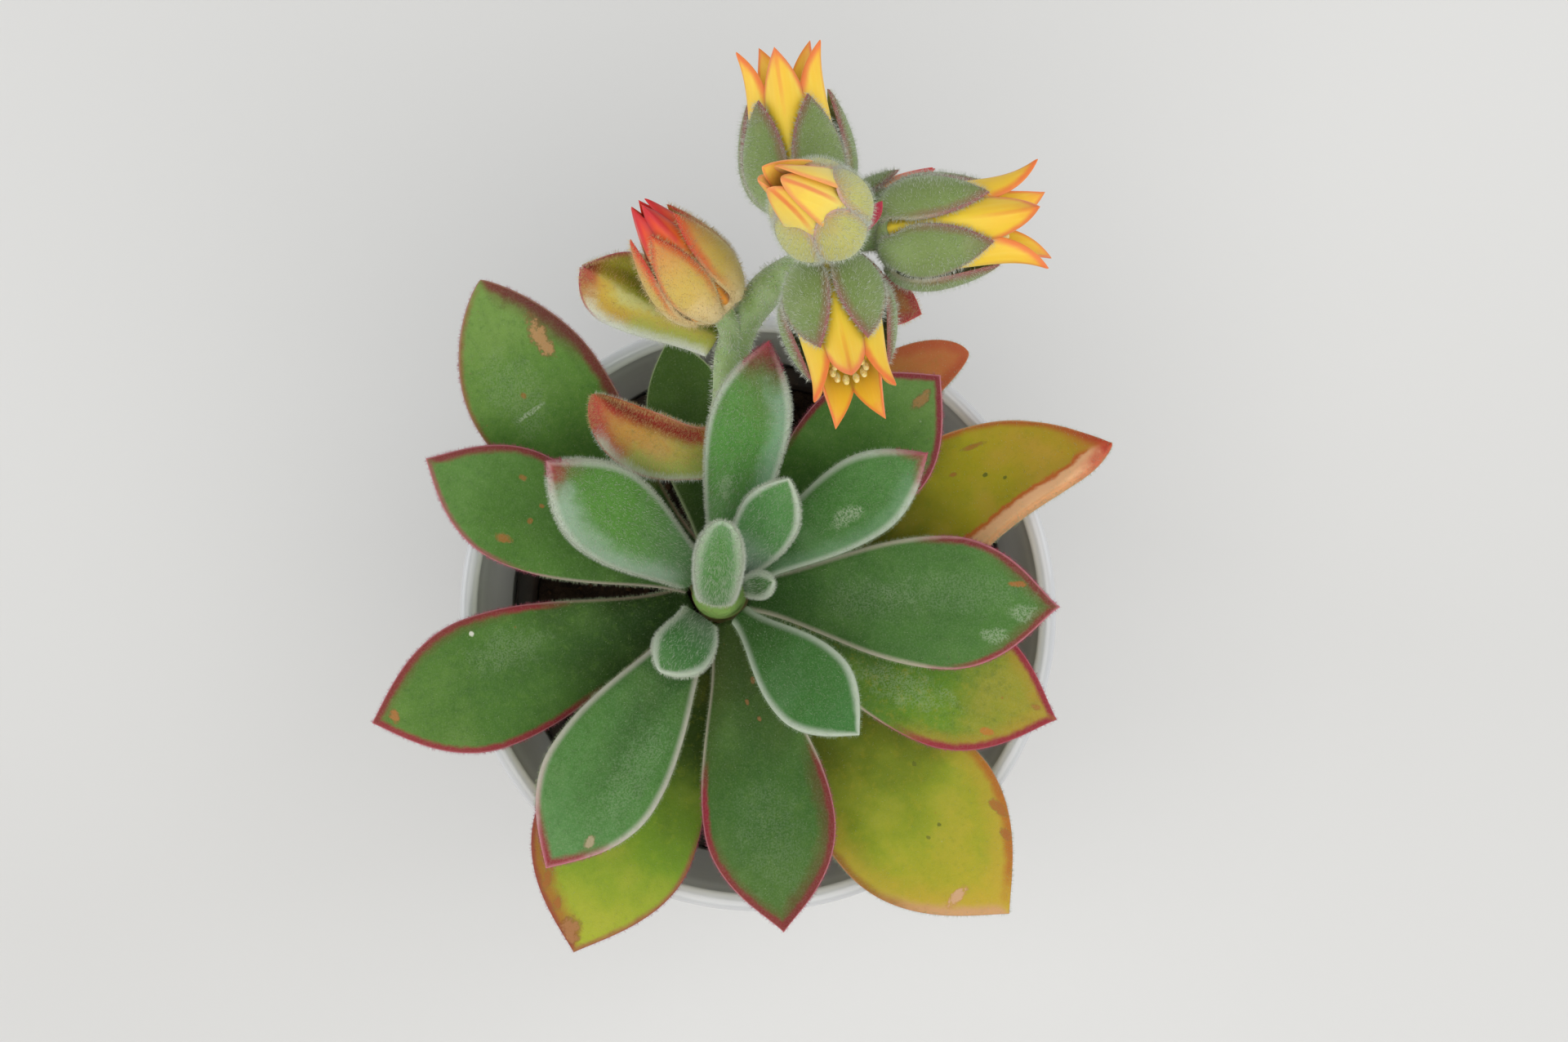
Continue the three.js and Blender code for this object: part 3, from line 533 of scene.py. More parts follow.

# Where a leaf's base colour is darker than its main colour, it is partly painted shade: the shadow of the
# leaves above and of the crowded centre, put into the colour near the stem.
LEAF_LOOKS = [
    {**OLD, "base": "8f7e2e", "main": "bf8844", "tip": "b45a34", "under": "b5904e", "margin": "c08a68",
     "stripes": [(0, 0.3, 1, 0.6, 2.2, "a8482c", 0.7)]},
    {**OLD, "base": "4c5606", "main": "8c9a1e", "tip": "bda42c", "turn": (0.28, 0.78),
     "stripes": [(0, 0.35, 1, 1.0, 5.0, "c09a36", 0.5), (1, 0.62, 0.95, 0.4, 1.7, "a8561f", 0.8),
                 (-1, 0.5, 0.85, 0.2, 1.4, "8c4c28", 0.7), (-1, 0.8, 1, 0.6, 1.9, "c99672", 0.8)],
     "scars": [(42.6, 8.7, 1.6, 0.7, RUST, 0.7), (45.9, 7.0, 1.0, 0.6, RUST, 0.7),
               (39, 1.5, 0.3, 0.3, SOOT, 0.6), (39.3, -0.7, 0.3, 0.25, SOOT, 0.5),
               (31, 4.5, 0.4, 0.3, SOOT, 0.5), (47.4, -3.4, 0.7, 1.8, SCURF, 0.7)]},
    {**OLD, "base": "565806", "main": "a59a18", "tip": "b9912a", "under": "e0a468", "deep": "f0cc9c",
     "turn": (0.3, 0.68), "margin": "d89a68", "margin_end": "b8322c", "margin_wide": 0.5, "turns_red": 0.93,
     "stripes": [(1, 0.5, 1, 0.3, 1.4, "ae4a26", 0.8), (0, 0.9, 1, 1.2, 3.4, "bd6030", 0.5),
                 (-1, 0.45, 1, 2.5, 3.2, "c4602a", 0.9), (-1, 0.45, 0.97, 1.6, 2.4, "ecb98a", 0.95),
                 (0, 0.94, 1, 0.8, 2, "b02e2a", 0.85)],
     "scars": [(34.6, 1.8, 0.35, 0.3, SOOT, 0.7), (37, 0.4, 0.3, 0.25, SOOT, 0.6),
               (34.2, 6.4, 1.6, 0.4, RUST, 0.6), (27.5, 5.2, 0.4, 0.3, RUST, 0.6),
               (30.6, 3.4, 0.5, 0.3, RUST, 0.6)]},
    {**OLD, "base": "344a0c", "main": "6f9020", "tip": "aaae30", "margin": "9c7c74", "margin_end": "9c4446",
     "turn": (0.3, 0.72), "turns_red": 0.5,
     "stripes": [(-1, 0.5, 1, 1.0, 3.4, "a05a26", 0.8), (-1, 0.55, 1, 0.3, 0.9, "8c3434", 0.7),
                 (1, 0.6, 1, 0.2, 0.9, "983c44", 0.7)],
     "scars": [(45, -1.2, 1.9, 1.4, ("a8744a", "744428"), 0.8), (39.4, -6.3, 1.6, 0.6, RUST, 0.7),
               (42.2, -4.1, 1.0, 0.6, RUST, 0.7), (36.5, -8, 1.0, 0.5, RUST, 0.6)]},
    {**LEAF_LOOK, "base": "38521c", "main": "5f861c", "tip": "a0922c", "tip_share": 1, "rust": 0.1,
     "turn": (0.2, 0.66), "under": "9aa552", "margin_end": "b45a6c", "turns_red": 0.5,
     "stripes": [(0, 0.6, 1, 0.8, 3.0, "a8842a", 0.6), (-1, 0.6, 1, 0.5, 1.3, RED, 0.95),
                 (1, 0.74, 1, 0.5, 1.2, RED, 0.95)],
     "dust": [(24, -3, 7, 2.6, 0.2)],
     "scars": [(35.9, -4.6, 1.1, 0.5, ("b8702e", "a0762c"), 0.7), (40.5, 0.6, 0.6, 0.4, RUST, 0.5)]},
    {**LEAF_LOOK, "base": "2a460c", "main": "568030", "tip": "7c9a4c", "margin": "a08674",
     "margin_end": "a07a6a", "groove_shade_share": 0.2, "turns_red": 0.4,
     "stripes": [(-1, 0.3, 1, 0.7, 2.0, "6f2228", 0.9), (-1, 0.72, 0.95, 1.2, 3.4, "5c2c24", 0.7),
                 (1, 0.35, 0.97, 0.1, 0.9, "8a4c34", 0.7)],
     "dust": [(36, 3, 7, 4, 0.12), (32.7, 2.8, 0.35, 2.2, 0.6)],
     "scars": [(41, -3.4, 3.0, 1.1, TAN, 0.85), (35.1, 2.4, 0.5, 0.4, RUST, 0.5)]},
    {**LEAF_LOOK, "base": "30501a", "main": "4a7429", "tip": "6c8c48", "turns_red": 0.45,
     "stripes": [(0, 0.5, 1, 0.5, 1.1, "7c1e30", 0.95)], "scars": [(34.3, -0.5, 1.6, 0.7, CORK, 0.7)]},
    {**LEAF_LOOK, "base": "233a0c", "main": "466e26", "tip": "658838", "margin": "a89684", "turns_red": 0.4,
     "pale": 0.12, "stripes": [(0, 0.4, 1, 0.5, 1.2, RED, 0.9), (-1, 0.55, 1, 0.8, 2.2, BARK, 0.35)],
     "dust": [(26, -3, 6, 3, 0.12)],
     "scars": [(29.7, -6.6, 0.35, 0.35, ("d4d4c4", "a3b090"), 0.9),
               (42.6, 0, 0.6, 0.9, ("b0703a", "8c502c"), 0.7)]},
    {**LEAF_LOOK, "base": "33480f", "main": "385212", "tip": "4f7028", "margin": "9aa67c",
     "margin_end": "9aa67c"},
    {**LEAF_LOOK, "base": "315218", "main": "4a7328", "tip": "628a44", "margin": "b0a096", "turns_red": 0.5,
     "rust": 0.2, "stripes": [(-1, 0.3, 1, 0.5, 1.3, "7c2030", 0.9), (1, 0.62, 1, 0.3, 0.8, "964854", 0.7)],
     "scars": [(26.2, 4.4, 1.1, 0.6, RUST, 0.6), (27.5, -3.6, 0.6, 0.4, RUST, 0.5),
               (24, 1, 0.4, 0.4, RUST, 0.5), (23.6, -1.4, 0.4, 0.3, RUST, 0.5)]},
    {**LEAF_LOOK, "base": "42501e", "main": "3b6122", "tip": "567430", "turns_red": 0.5,
     "stripes": [(0, 0.48, 1, 0.55, 1.2, RED, 0.95), (1, 0.5, 1, 0.9, 3.0, "62301f", 0.6),
                 (-1, 0.7, 1, 0.7, 2.2, BARK, 0.5)],
     "dust": [(30, 0, 8, 5, 0.06)],
     "scars": [(11.7, 0.1, 0.5, 0.3, CORK, 0.6), (14.3, 1.2, 0.4, 0.3, CORK, 0.6),
               (9, 1.5, 0.5, 0.3, CORK, 0.5)]},
    {**LEAF_LOOK, "base": "335820", "main": "466f30", "tip": "507c34", "haze": 0.08,
     "turns_red": 0.62, "margin_wide": 0.9, "pale": 0.14,
     "stripes": [(1, 0.6, 1, 0.5, 1.2, "7e1c30", 0.9), (-1, 0.72, 1, 0.45, 1.0, RED, 0.9),
                 (0, 0.82, 1, 0.7, 2.4, BARK, 0.5)],
     "dust": [(37.6, -0.8, 2.2, 1.3, 0.36), (34, -3.9, 1.8, 1.1, 0.36), (29, 1.5, 10, 3, 0.08),
              (18, 0, 7, 3, 0.08)],
     "scars": [(36.6, 2.7, 1.1, 0.4, RUST, 0.7)]},
    {**LEAF_LOOK, "base": "2f5220", "main": "487634", "tip": "5e8c52", "haze": 0.1, "turns_red": 0.85,
     "groove_shade_share": 0.7, "margin": "bdb8ac", "margin_wide": 1.1,
     "stripes": [(0, 0.88, 1, 0.5, 1.4, RED, 0.9), (-1, 0.7, 0.95, 0.3, 0.8, RED, 0.6)],
     "dust": [(24, 3, 9, 3, 0.1)], "scars": [(33.8, 2.9, 1.0, 0.6, ("b3a083", "8a6f4c"), 0.7)]},
    # leaf_14 to leaf_16: the first, pale blue-green stripe along one side is a painted highlight on the half
    # that faces the light
    {**YOUNG, "main": "42722f", "base": "2a521c", "margin_end": "a84458", "margin_wide": 1.1, "haze": 0.1,
     "stripes": [(-1, 0.15, 0.9, 0.8, 3.2, "84a58a", 0.3), (0, 0.95, 1, 0.5, 1.4, RED, 0.9)],
     "dust": [(19.5, -0.9, 3.0, 1.3, 0.5)]},
    # Its first, pale blue-green stripe is a painted highlight on the half that faces the light
    {**YOUNG, "main": "4e8638", "base": "5c8c4c", "tip": "5c6434", "tip_share": 0.8, "margin_end": "a83e50",
     "stripes": [(-1, 0.05, 0.85, 1.0, 3.4, "94b4a0", 0.5), (0, 0.9, 1, 0.9, 3.0, "662c22", 0.85),
                 (0, 0.98, 1, 1.0, 2.4, "9c1838", 0.95)],
     "dust": [(16.2, 1.3, 2.8, 1.0, 0.35)]},
    # Its first, pale blue-green stripe is a painted highlight on the half that faces the light
    {**YOUNG, "main": "50842f", "base": "6a9562", "tip": "48702c", "margin_end": "b04060",
     "turns_red": 0.95,
     "stripes": [(1, 0.08, 0.9, 0.9, 4.2, "a3b8a8", 0.6), (0, 0.9, 1, 1.2, 3.6, "6c3a2c", 0.6),
                 (0, 0.95, 1, 1.9, 3.4, "a41840", 1)]},
    {**YOUNG, "main": "3a6c2c", "base": "345e22", "tip": "3e763a", "haze": 0.1, "margin_wide": 1.2},
    {**YOUNG, "main": "467c3c", "base": "8aa090"},
    {**YOUNG, "main": "3e7636", "base": "6c8c68", "margin_wide": 1.1},
    {**YOUNG, "main": "3f6c30"},
    {**YOUNG, "main": "3f7e28", "under": "5a8650", "deep": "467a34", "base": "5f8c50", "margin": "a4b898",
     "margin_end": "b4c4ac", "margin_wide": 1.2, "haze": 0.2,
     "scars": [(20.3, 0.3, 0.3, 0.3, ("a05a3c", "7a7a3c"), 0.8)]},
]


def leaf_finish(name, look, number):
    """Velvety skin: colour that drifts from base to tip, its darker bases partly painted shade near the
    stem, a painted shade along the midrib groove, darker streaks, a fine mottle, a paler underside, stripes
    along the margins, on leaf_14 to leaf_16 also a painted highlight along one side, rust dots, pale flecks,
    dust, scars, fine pale fuzz, and a thin pale line on the margin itself, partly pale hairs and partly a
    painted highlight, that turns redder."""
    tone = {key: hue(code) for key, code in look.items() if isinstance(code, str)}
    finish = Finish(name, Sheen_Weight=0.12, Sheen_Roughness=0.4, Sheen_Tint=(0.8, 0.95, 0.75, 1),
                    Specular_IOR_Level=0.2, Subsurface_Weight=0.12, Subsurface_Scale=0.002,
                    Subsurface_Radius=(0.8, 1.0, 0.3))
    along, run, offset, edge, top = (finish.mark(m) for m in ("along", "run", "offset", "edge", "top"))
    flat = finish.spot_map(run, offset, top)
    drift = finish.noise(flat, 8.0, 3, 0.55, number)
    ragged = finish.noise(flat, 1.5, 3, 0.6, number + 40.0)
    streak = finish.noise(finish.spot_map(run * 0.11, offset * 0.8, top), 1.0, 3, 0.6, number + 80.0)
    fuzz = finish.noise(finish.place(), 0.00024, 2, 0.7)
    mottle = finish.noise(finish.place(), 0.0009, 4, 0.7, number)
    above = finish.ease(top, -0.22, 0.02)
    far = along + 0.5 * (drift - 0.5)
    # base to main: a darker base colour is partly painted shade near the stem, where the leaves above cast
    # shadow
    colour = finish.mix(finish.ease(far, *look["turn"]), tone["base"], tone["main"])
    colour = finish.mix(look["tip_share"] * finish.ease(far, 0.6, 1.0), colour, tone["tip"])
    # A painted shade along the midrib groove, fading towards the tip. The streaks and the dark mottle reuse
    # its colour.
    groove_shade = finish.ease(abs(offset) + 3 * (streak - 0.5), 3.6, 0.2) * finish.ease(along, 0.9, 0.35)
    colour = finish.mix(look["groove_shade_share"] * groove_shade, colour, tone["groove_shade"])
    colour = finish.mix(look["streak"] * finish.ease(streak, 0.42, 0.7), colour, tone["groove_shade"])
    colour = finish.mix(0.14 * finish.ease(drift, 0.5, 0.72), colour, tone["under"])
    colour = finish.mix(look["mottle"] * finish.ease(mottle, 0.5, 0.68), colour, tone["tip"])
    colour = finish.mix(look["mottle"] * finish.ease(mottle, 0.5, 0.32), colour, tone["groove_shade"])
    below = finish.mix(finish.ease(edge, 0.5, 2.2), tone["under"], tone["deep"])
    colour = finish.mix(above, below, colour)
    near = along + 0.12 * (ragged - 0.5)
    for side, start, end, full, gone, code, share in look["stripes"]:
        inward = edge + 0.6 * gone * (ragged - 0.5) + 0.3 * gone * (drift - 0.5)
        part = share * finish.ease(inward, gone, full) * finish.ease(near, start - 0.08, start + 0.08)
        if end < 1:
            part = part * finish.ease(near, end + 0.06, end - 0.06)
        if side:
            part = part * finish.ease(side * offset, -0.6, 0.6)
        colour = finish.mix(part * above, colour, hue(code))
    if look["rust"]:
        dots = finish.grit(flat, 1.5, 0.24, look["rust"], number + 3.0) * above
        colour = finish.mix(0.6 * dots, colour, hue("9a5a28"))
    if look["pale"]:
        flecks = finish.grit(flat, 1.7, 0.24, look["pale"], number + 7.0) * above
        colour = finish.mix(0.5 * flecks, colour, FUZZ)
    for place, across, long, wide, share in look["dust"]:
        x, y = (run - place) * (1 / long), (offset - across) * (1 / wide)
        inside = 1 - (x * x + y * y) + 3.2 * (ragged - 0.5)
        part = share * finish.ease(inside, -0.2, 0.9) * finish.ease(fuzz, 0.36, 0.6)
        colour = finish.mix(part * above, colour, hue("b4bfa6"))
    worn = finish.noise(flat, 0.45, 3, 0.7, number + 20.0)
    for place, across, long, wide, (middle, rim), share in look["scars"]:
        x, y = (run - place) * (1 / long), (offset - across) * (1 / wide)
        inside = 1 - (x * x + y * y) + 3.2 * (ragged - 0.5) + 2.2 * (worn - 0.5)
        colour = finish.mix(0.7 * share * above * finish.ease(inside, -0.5, 0.3), colour, hue(rim))
        colour = finish.mix(share * above * finish.ease(inside, 0.0, 0.6), colour, hue(middle))
    colour = finish.mix(look["haze"] * finish.ease(fuzz, 0.42, 0.66), colour, FUZZ)
    # The margin line: pale, partly the margin's own pale hairs and partly a painted highlight of the rounded
    # margin, turning red where the leaf reddens
    reddens = finish.ease(near, look["turns_red"] - 0.1, look["turns_red"] + 0.12)
    line = finish.mix(reddens, tone["margin"], tone["margin_end"])
    wide = look["margin_wide"] * (1 - 0.6 * reddens)
    colour = finish.mix(0.85 * finish.ease(edge / wide + 0.4 * (fuzz - 0.5), 1.0, 0.1), colour, line)
    finish.give(Base_Color=colour, Roughness=0.56 + 0.2 * fuzz,
                Normal=finish.bump(0.6 * fuzz + 0.4 * ragged, 0.00014, 0.6))
    return finish


def hair_finish(name, code):
    """Hairs of one tone."""
    return Finish(name, Base_Color=hue(code), Roughness=0.6, Sheen_Weight=0.2, Specular_IOR_Level=0.3)


def sepal_finish(name, number, look):
    """Hairy cup: paler at its foot, dusky towards its tips, with thin pink and purple margins."""
    finish = Finish(name, Sheen_Weight=0.35, Sheen_Roughness=0.4, Sheen_Tint=(0.85, 0.95, 0.8, 1),
                    Specular_IOR_Level=0.3, Subsurface_Weight=0.15, Subsurface_Scale=0.0015,
                    Subsurface_Radius=(0.9, 1.0, 0.4))
    tone = {key: hue(code) for key, code in look.items() if isinstance(code, str)}
    along, edge, top = (finish.mark(m) for m in ("along", "edge", "top"))
    cloud = finish.noise(finish.place(), 0.003, 3, 0.6, number)
    fuzz = finish.noise(finish.place(), 0.0002, 2, 0.7)
    colour = finish.mix(finish.ease(along + 0.4 * (cloud - 0.5), 0.0, 0.5), tone["base"], tone["main"])
    tipward = finish.ease(along + 0.5 * (cloud - 0.5), look["tip_from"], 1.05)
    colour = finish.mix(0.8 * tipward, colour, tone["tip"])
    colour = finish.mix(0.4 * finish.ease(cloud, 0.45, 0.75), colour, tone["cloud"])
    colour = finish.mix(0.15 * finish.ease(fuzz, 0.42, 0.66), colour, FUZZ)
    blush = finish.ease(edge + 0.9 * (cloud - 0.5), look["blush_wide"], 0.2) * finish.ease(along, 0.1, 0.6)
    colour = finish.mix(look["blush_share"] * blush, colour, tone["blush"])
    line = finish.mix(finish.ease(along + 0.3 * (cloud - 0.5), 0.35, 0.75), tone["rim"], tone["margin"])
    colour = finish.mix(0.75 * finish.ease(edge, 0.28, 0.05), colour, line)
    colour = finish.mix(finish.ease(top, 0.1, 0.5), colour, tone["inside"])
    finish.give(Base_Color=colour, Roughness=0.5 + 0.2 * fuzz, Normal=finish.bump(fuzz, 0.00012, 0.6))
    return finish


def petal_finish(name, number, look):
    """Waxy petal: yellow with faint veins, redder at its tip, in a fine line on the keel outside and on
    its margins."""
    finish = Finish(name, Sheen_Weight=0.15, Specular_IOR_Level=0.4, Subsurface_Weight=0.35,
                    Subsurface_Scale=0.0015, Subsurface_Radius=(1.0, 0.7, 0.15))
    tone = {key: hue(code) for key, code in look.items() if isinstance(code, str)}
    along, run, offset, edge, top = (finish.mark(m) for m in ("along", "run", "offset", "edge", "top"))
    cloud = finish.noise(finish.place(), 0.002, 3, 0.6, number)
    vein = finish.noise(finish.spot_map(run * 0.15, offset * 2.2, top), 1.0, 2, 0.5, number)
    outside = finish.ease(top, 0.1, -0.1)
    colour = finish.mix(finish.ease(along + 0.3 * (cloud - 0.5), 0.3, 0.9), tone["base"], tone["main"])
    colour = finish.mix(0.3 * finish.ease(vein, 0.45, 0.7), colour, tone["vein"])
    tipward = finish.ease(along + 0.25 * (cloud - 0.5), look["red_from"], 1.02)
    colour = finish.mix(look["tip_share"] * tipward, colour, tone["tip"])
    wide = look["keel_wide"]
    keel = finish.ease(abs(offset) + 0.5 * wide * (cloud - 0.5), wide, 0.2 * wide) * outside
    keel = keel * finish.ease(along + 0.3 * (cloud - 0.5), 0.4, 0.85)
    colour = finish.mix(look["keel_share"] * keel, colour, tone["keel"])
    rim = finish.ease(edge + 0.4 * (cloud - 0.5), look["rim_wide"], 0.0) * finish.ease(along, 0.3, 0.75)
    colour = finish.mix(0.85 * rim, colour, tone["rim"])
    finish.give(Base_Color=colour, Roughness=0.4 + 0.15 * vein,
                Normal=finish.bump(vein + 0.5 * cloud, 0.0001, 0.5))
    return finish


def stamen_finish(name):
    """Pale filaments with grainy yellow anthers. The mark along is 1 on an anther."""
    finish = Finish(name, Subsurface_Weight=0.2, Subsurface_Scale=0.001, Specular_IOR_Level=0.3)
    grain = finish.noise(finish.place(), 0.00025, 2, 0.7)
    cloud = finish.noise(finish.place(), 0.002, 2, 0.5)
    thread = finish.mix(cloud, hue("dcd07a"), hue("b9bd62"))
    pollen = finish.mix(finish.ease(grain, 0.35, 0.65), hue("e9cf6a"), hue("f8efb8"))
    finish.give(Base_Color=finish.mix(finish.mark("along"), thread, pollen), Roughness=0.6 + 0.2 * grain,
                Normal=finish.bump(grain, 0.00012, 0.8))
    return finish


def stalk_finish():
    """Light green stalk under pale fuzz, with streaks and a few pink scars."""
    finish = Finish("stalk_skin", Sheen_Weight=0.6, Sheen_Roughness=0.4, Sheen_Tint=(0.9, 0.95, 0.85, 1),
                    Specular_IOR_Level=0.3, Subsurface_Weight=0.15, Subsurface_Scale=0.0015)
    cloud = finish.noise(finish.place(), 0.004, 3, 0.6)
    streak = finish.noise(finish.spot_map(finish.mark("run") * 6, finish.mark("spin") * 3), 1.0, 3, 0.6)
    fuzz = finish.noise(finish.place(), 0.0002, 2, 0.7)
    colour = finish.mix(finish.ease(cloud, 0.35, 0.65), hue("86a45a"), hue("a4bc82"))
    colour = finish.mix(0.4 * finish.ease(streak, 0.5, 0.75), colour, hue("a9c088"))
    scar = finish.grit(finish.place(), 0.009, 0.0011, 0.35, 5.0)
    colour = finish.mix(0.7 * scar, colour, hue("a9626a"))
    colour = finish.mix(0.3 * finish.ease(fuzz, 0.42, 0.66), colour, FUZZ)
    finish.give(Base_Color=colour, Roughness=0.55 + 0.2 * fuzz,
                Normal=finish.bump(fuzz + streak, 0.00015, 0.7))
    return finish


def bark_finish():
    """Stem bark: brown and green in patches, with dark rings where leaves fell."""
    finish = Finish("stem_bark", Specular_IOR_Level=0.25)
    place = finish.place()
    cloud = finish.noise(place, 0.005, 4, 0.65)
    grain = finish.noise(place, 0.0006, 3, 0.7)
    height = finish.node("ShaderNodeSeparateXYZ", inputs={0: place}, output="Z")
    colour = finish.mix(finish.ease(cloud, 0.4, 0.62), hue("6f7a3c"), hue("7c5f3c"))
    colour = finish.mix(finish.ease(height, 0.075, 0.096), colour, hue("7fa052"))
    colour = finish.mix(0.6 * finish.ease(finish.mark("scar"), 0.2, 0.8), colour, hue("4a3422"))
    colour = finish.mix(0.5 * finish.ease(grain, 0.5, 0.75), colour, hue("8f7a55"))
    finish.give(Base_Color=colour, Roughness=0.75 + 0.2 * grain,
                Normal=finish.bump(grain + cloud, 0.0004, 0.9))
    return finish


# Finishes of the pots and the soil

def glaze_finish():
    """White glaze, glossy and a little wavy, painted whiter inside the pot than on its lip as painted light
    on the shaded inner wall, with faint specks, and bare clay under the foot."""
    finish = Finish("white_glaze", Coat_Weight=0.4, Coat_Roughness=0.08, Specular_IOR_Level=0.5)
    place = finish.place()
    cloud = finish.noise(place, 0.03, 3, 0.5)
    ripple = finish.noise(place, 0.006, 2, 0.5)
    x, y, height = (finish.node("ShaderNodeSeparateXYZ", inputs={0: place}, output=axis) for axis in "XYZ")
    radius = (x * x + y * y).root()
    wall = POT_FOOT_RADIUS * MM + (POT_RIM_RADIUS - POT_FOOT_RADIUS) / POT_HEIGHT * height - radius
    colour = finish.mix(finish.ease(cloud, 0.35, 0.65), hue("cbccce"), hue("d1d1d2"))
    # The whiter colour inside the wall is painted light, standing in for light on the shaded inside of the
    # pot
    colour = finish.mix(finish.ease(wall, 0.6 * POT_WALL * MM, 0.9 * POT_WALL * MM), colour, hue("f4f3f0"))
    specks = finish.grit(place, 0.0045, 0.00022, 0.2)
    colour = finish.mix(0.4 * specks, colour, hue("8f8274"))
    bare = finish.ease(height + 0.0008 * (ripple - 0.5), 0.0009, 0.0005)
    colour = finish.mix(bare, colour, hue("c9b79d"))
    finish.give(Base_Color=colour, Roughness=0.18 + 0.1 * cloud + 0.5 * bare,
                Normal=finish.bump(ripple + 0.6 * cloud, 0.0003, 0.25))
    return finish


def plastic_finish():
    """Dark nursery plastic, matt, scuffed and dusted with soil in patches all over."""
    finish = Finish("nursery_plastic", Specular_IOR_Level=0.4)
    place = finish.place()
    cloud = finish.noise(place, 0.006, 4, 0.6)
    grain = finish.noise(place, 0.0005, 2, 0.6)
    scuff = finish.noise(place, 0.0022, 4, 0.75, 9.0)
    colour = finish.mix(finish.ease(cloud, 0.4, 0.7), hue("211b18"), hue("3a2c25"))
    colour = finish.mix(0.5 * finish.ease(scuff, 0.58, 0.75), colour, hue("6a5546"))
    finish.give(Base_Color=colour, Roughness=0.45 + 0.3 * scuff,
                Normal=finish.bump(grain + scuff, 0.0001, 0.6))
    return finish


def soil_finish(name):
    """Dark peaty soil. The mark tint picks each crumb's shade, from black peat to bark and grit."""
    finish = Finish(name, Specular_IOR_Level=0.15)
    place = finish.place()
    tint = finish.mark("tint")
    cloud = finish.noise(place, 0.004, 4, 0.7)
    grain = finish.noise(place, 0.0004, 3, 0.7)
    colour = finish.mix(finish.ease(cloud, 0.35, 0.65), hue("1c1512"), hue("33261d"))
    colour = finish.mix(finish.ease(tint, 0.45, 0.8), colour, hue("4d3626"))
    colour = finish.mix(finish.ease(tint, 0.93, 0.97), colour, hue("8a755c"))
    colour = finish.mix(0.4 * finish.ease(grain, 0.5, 0.75), colour, hue("55402f"))
    finish.give(Base_Color=colour, Roughness=0.85 + 0.1 * grain,
                Normal=finish.bump(grain + cloud, 0.0004, 1.0))
    return finish


def floor_finish():
    finish = Finish("pale_floor", Specular_IOR_Level=0.2)
    cloud = finish.noise(finish.place(), 0.4, 3, 0.5)
    grain = finish.noise(finish.place(), 0.002, 2, 0.6)
    colour = finish.mix(cloud, hue("d3d2d0"), hue("dcdbd9"))
    finish.give(Base_Color=colour, Roughness=0.7 + 0.1 * grain)
    return finish


# The pots and the soil

POT_HEIGHT = 76.0
POT_RIM_RADIUS = 40.0
POT_FOOT_RADIUS = 30.0
POT_WALL = 2.4
POT_FLOOR = 4.0
LINER_TOP = POT_HEIGHT - 22
LINER_LIP_RADIUS = 34.1
LINER_TOP_RADIUS = 32.6
LINER_FLOOR_RADIUS = 24.6
LINER_WALL = 0.9
DRAIN_HOLES = 6
DRAIN_RADIUS = 2.5
DRAIN_RING = 0.7 * LINER_FLOOR_RADIUS
GAP = 0.3
SOIL_TOP = LINER_TOP - 2.5
SOIL_LUMP = 0.9
CRUMBS = 1500


def arc(centre, radius, start, end, count):
    """Points (radius, height) on an arc, its angles in degrees."""
    angles = np.radians(np.linspace(start, end, count))
    return [(centre[0] + radius * math.cos(a), centre[1] + radius * math.sin(a)) for a in angles]


def make_pot():
    """A turned pot: a narrow foot, a straight slanting wall, a rounded lip and a rounded inner corner."""
    slope = (POT_RIM_RADIUS - POT_FOOT_RADIUS) / POT_HEIGHT
    lip = POT_WALL / 2
    inner = POT_FOOT_RADIUS + slope * POT_FLOOR - POT_WALL
    profile = [(0, 0), (POT_FOOT_RADIUS - 2, 0)]
    profile += arc((POT_FOOT_RADIUS - 1.9, 1.9), 1.9, -90, -8, 8)
    profile += [(POT_FOOT_RADIUS + slope * z, z) for z in np.linspace(4, POT_HEIGHT - 3, 24)]
    profile += arc((POT_RIM_RADIUS - lip, POT_HEIGHT - lip), lip, -5, 185, 16)
    profile += [(inner + slope * (z - POT_FLOOR), z) for z in np.linspace(POT_HEIGHT - 3, POT_FLOOR + 4, 24)]
    profile += arc((inner - 2.6, POT_FLOOR + 3), 3, -5, -90, 8)
    profile += [(0, POT_FLOOR)]
    piece("white_pot", lathe(profile, 192), glaze_finish(), ["pot"])


def make_nursery_pot():
    """A thin turned pot with a rolled lip, and holes drilled in a ring through its floor."""
    floor = POT_FLOOR + GAP
    lip = (LINER_LIP_RADIUS - 0.5, LINER_TOP - 0.5)
    profile = [(0, floor), (LINER_FLOOR_RADIUS - 0.8, floor), (LINER_FLOOR_RADIUS, floor + 0.8)]
    profile += [(LINER_TOP_RADIUS, LINER_TOP - 3), (LINER_LIP_RADIUS - 0.2, LINER_TOP - 2.7)]
    profile += arc(lip, 0.5, 0, 90, 6)
    inner = LINER_TOP_RADIUS - LINER_WALL
    profile += [(inner + 0.3, LINER_TOP), (inner, LINER_TOP - 0.3)]
    profile += [(LINER_FLOOR_RADIUS - LINER_WALL, floor + LINER_WALL), (0, floor + LINER_WALL)]
    made = piece("nursery_pot_shell", lathe(profile, 128), plastic_finish(), ["nursery_pot"])
    drills = []
    for k in range(DRAIN_HOLES):
        angle = TAU * k / DRAIN_HOLES
        x, y = DRAIN_RING * math.cos(angle), DRAIN_RING * math.sin(angle)
        drills.append(tube([(x, y, floor - 3), (x, y, floor), (x, y, floor + 4)], DRAIN_RADIUS, 24))
    cut_from(made, together(drills))


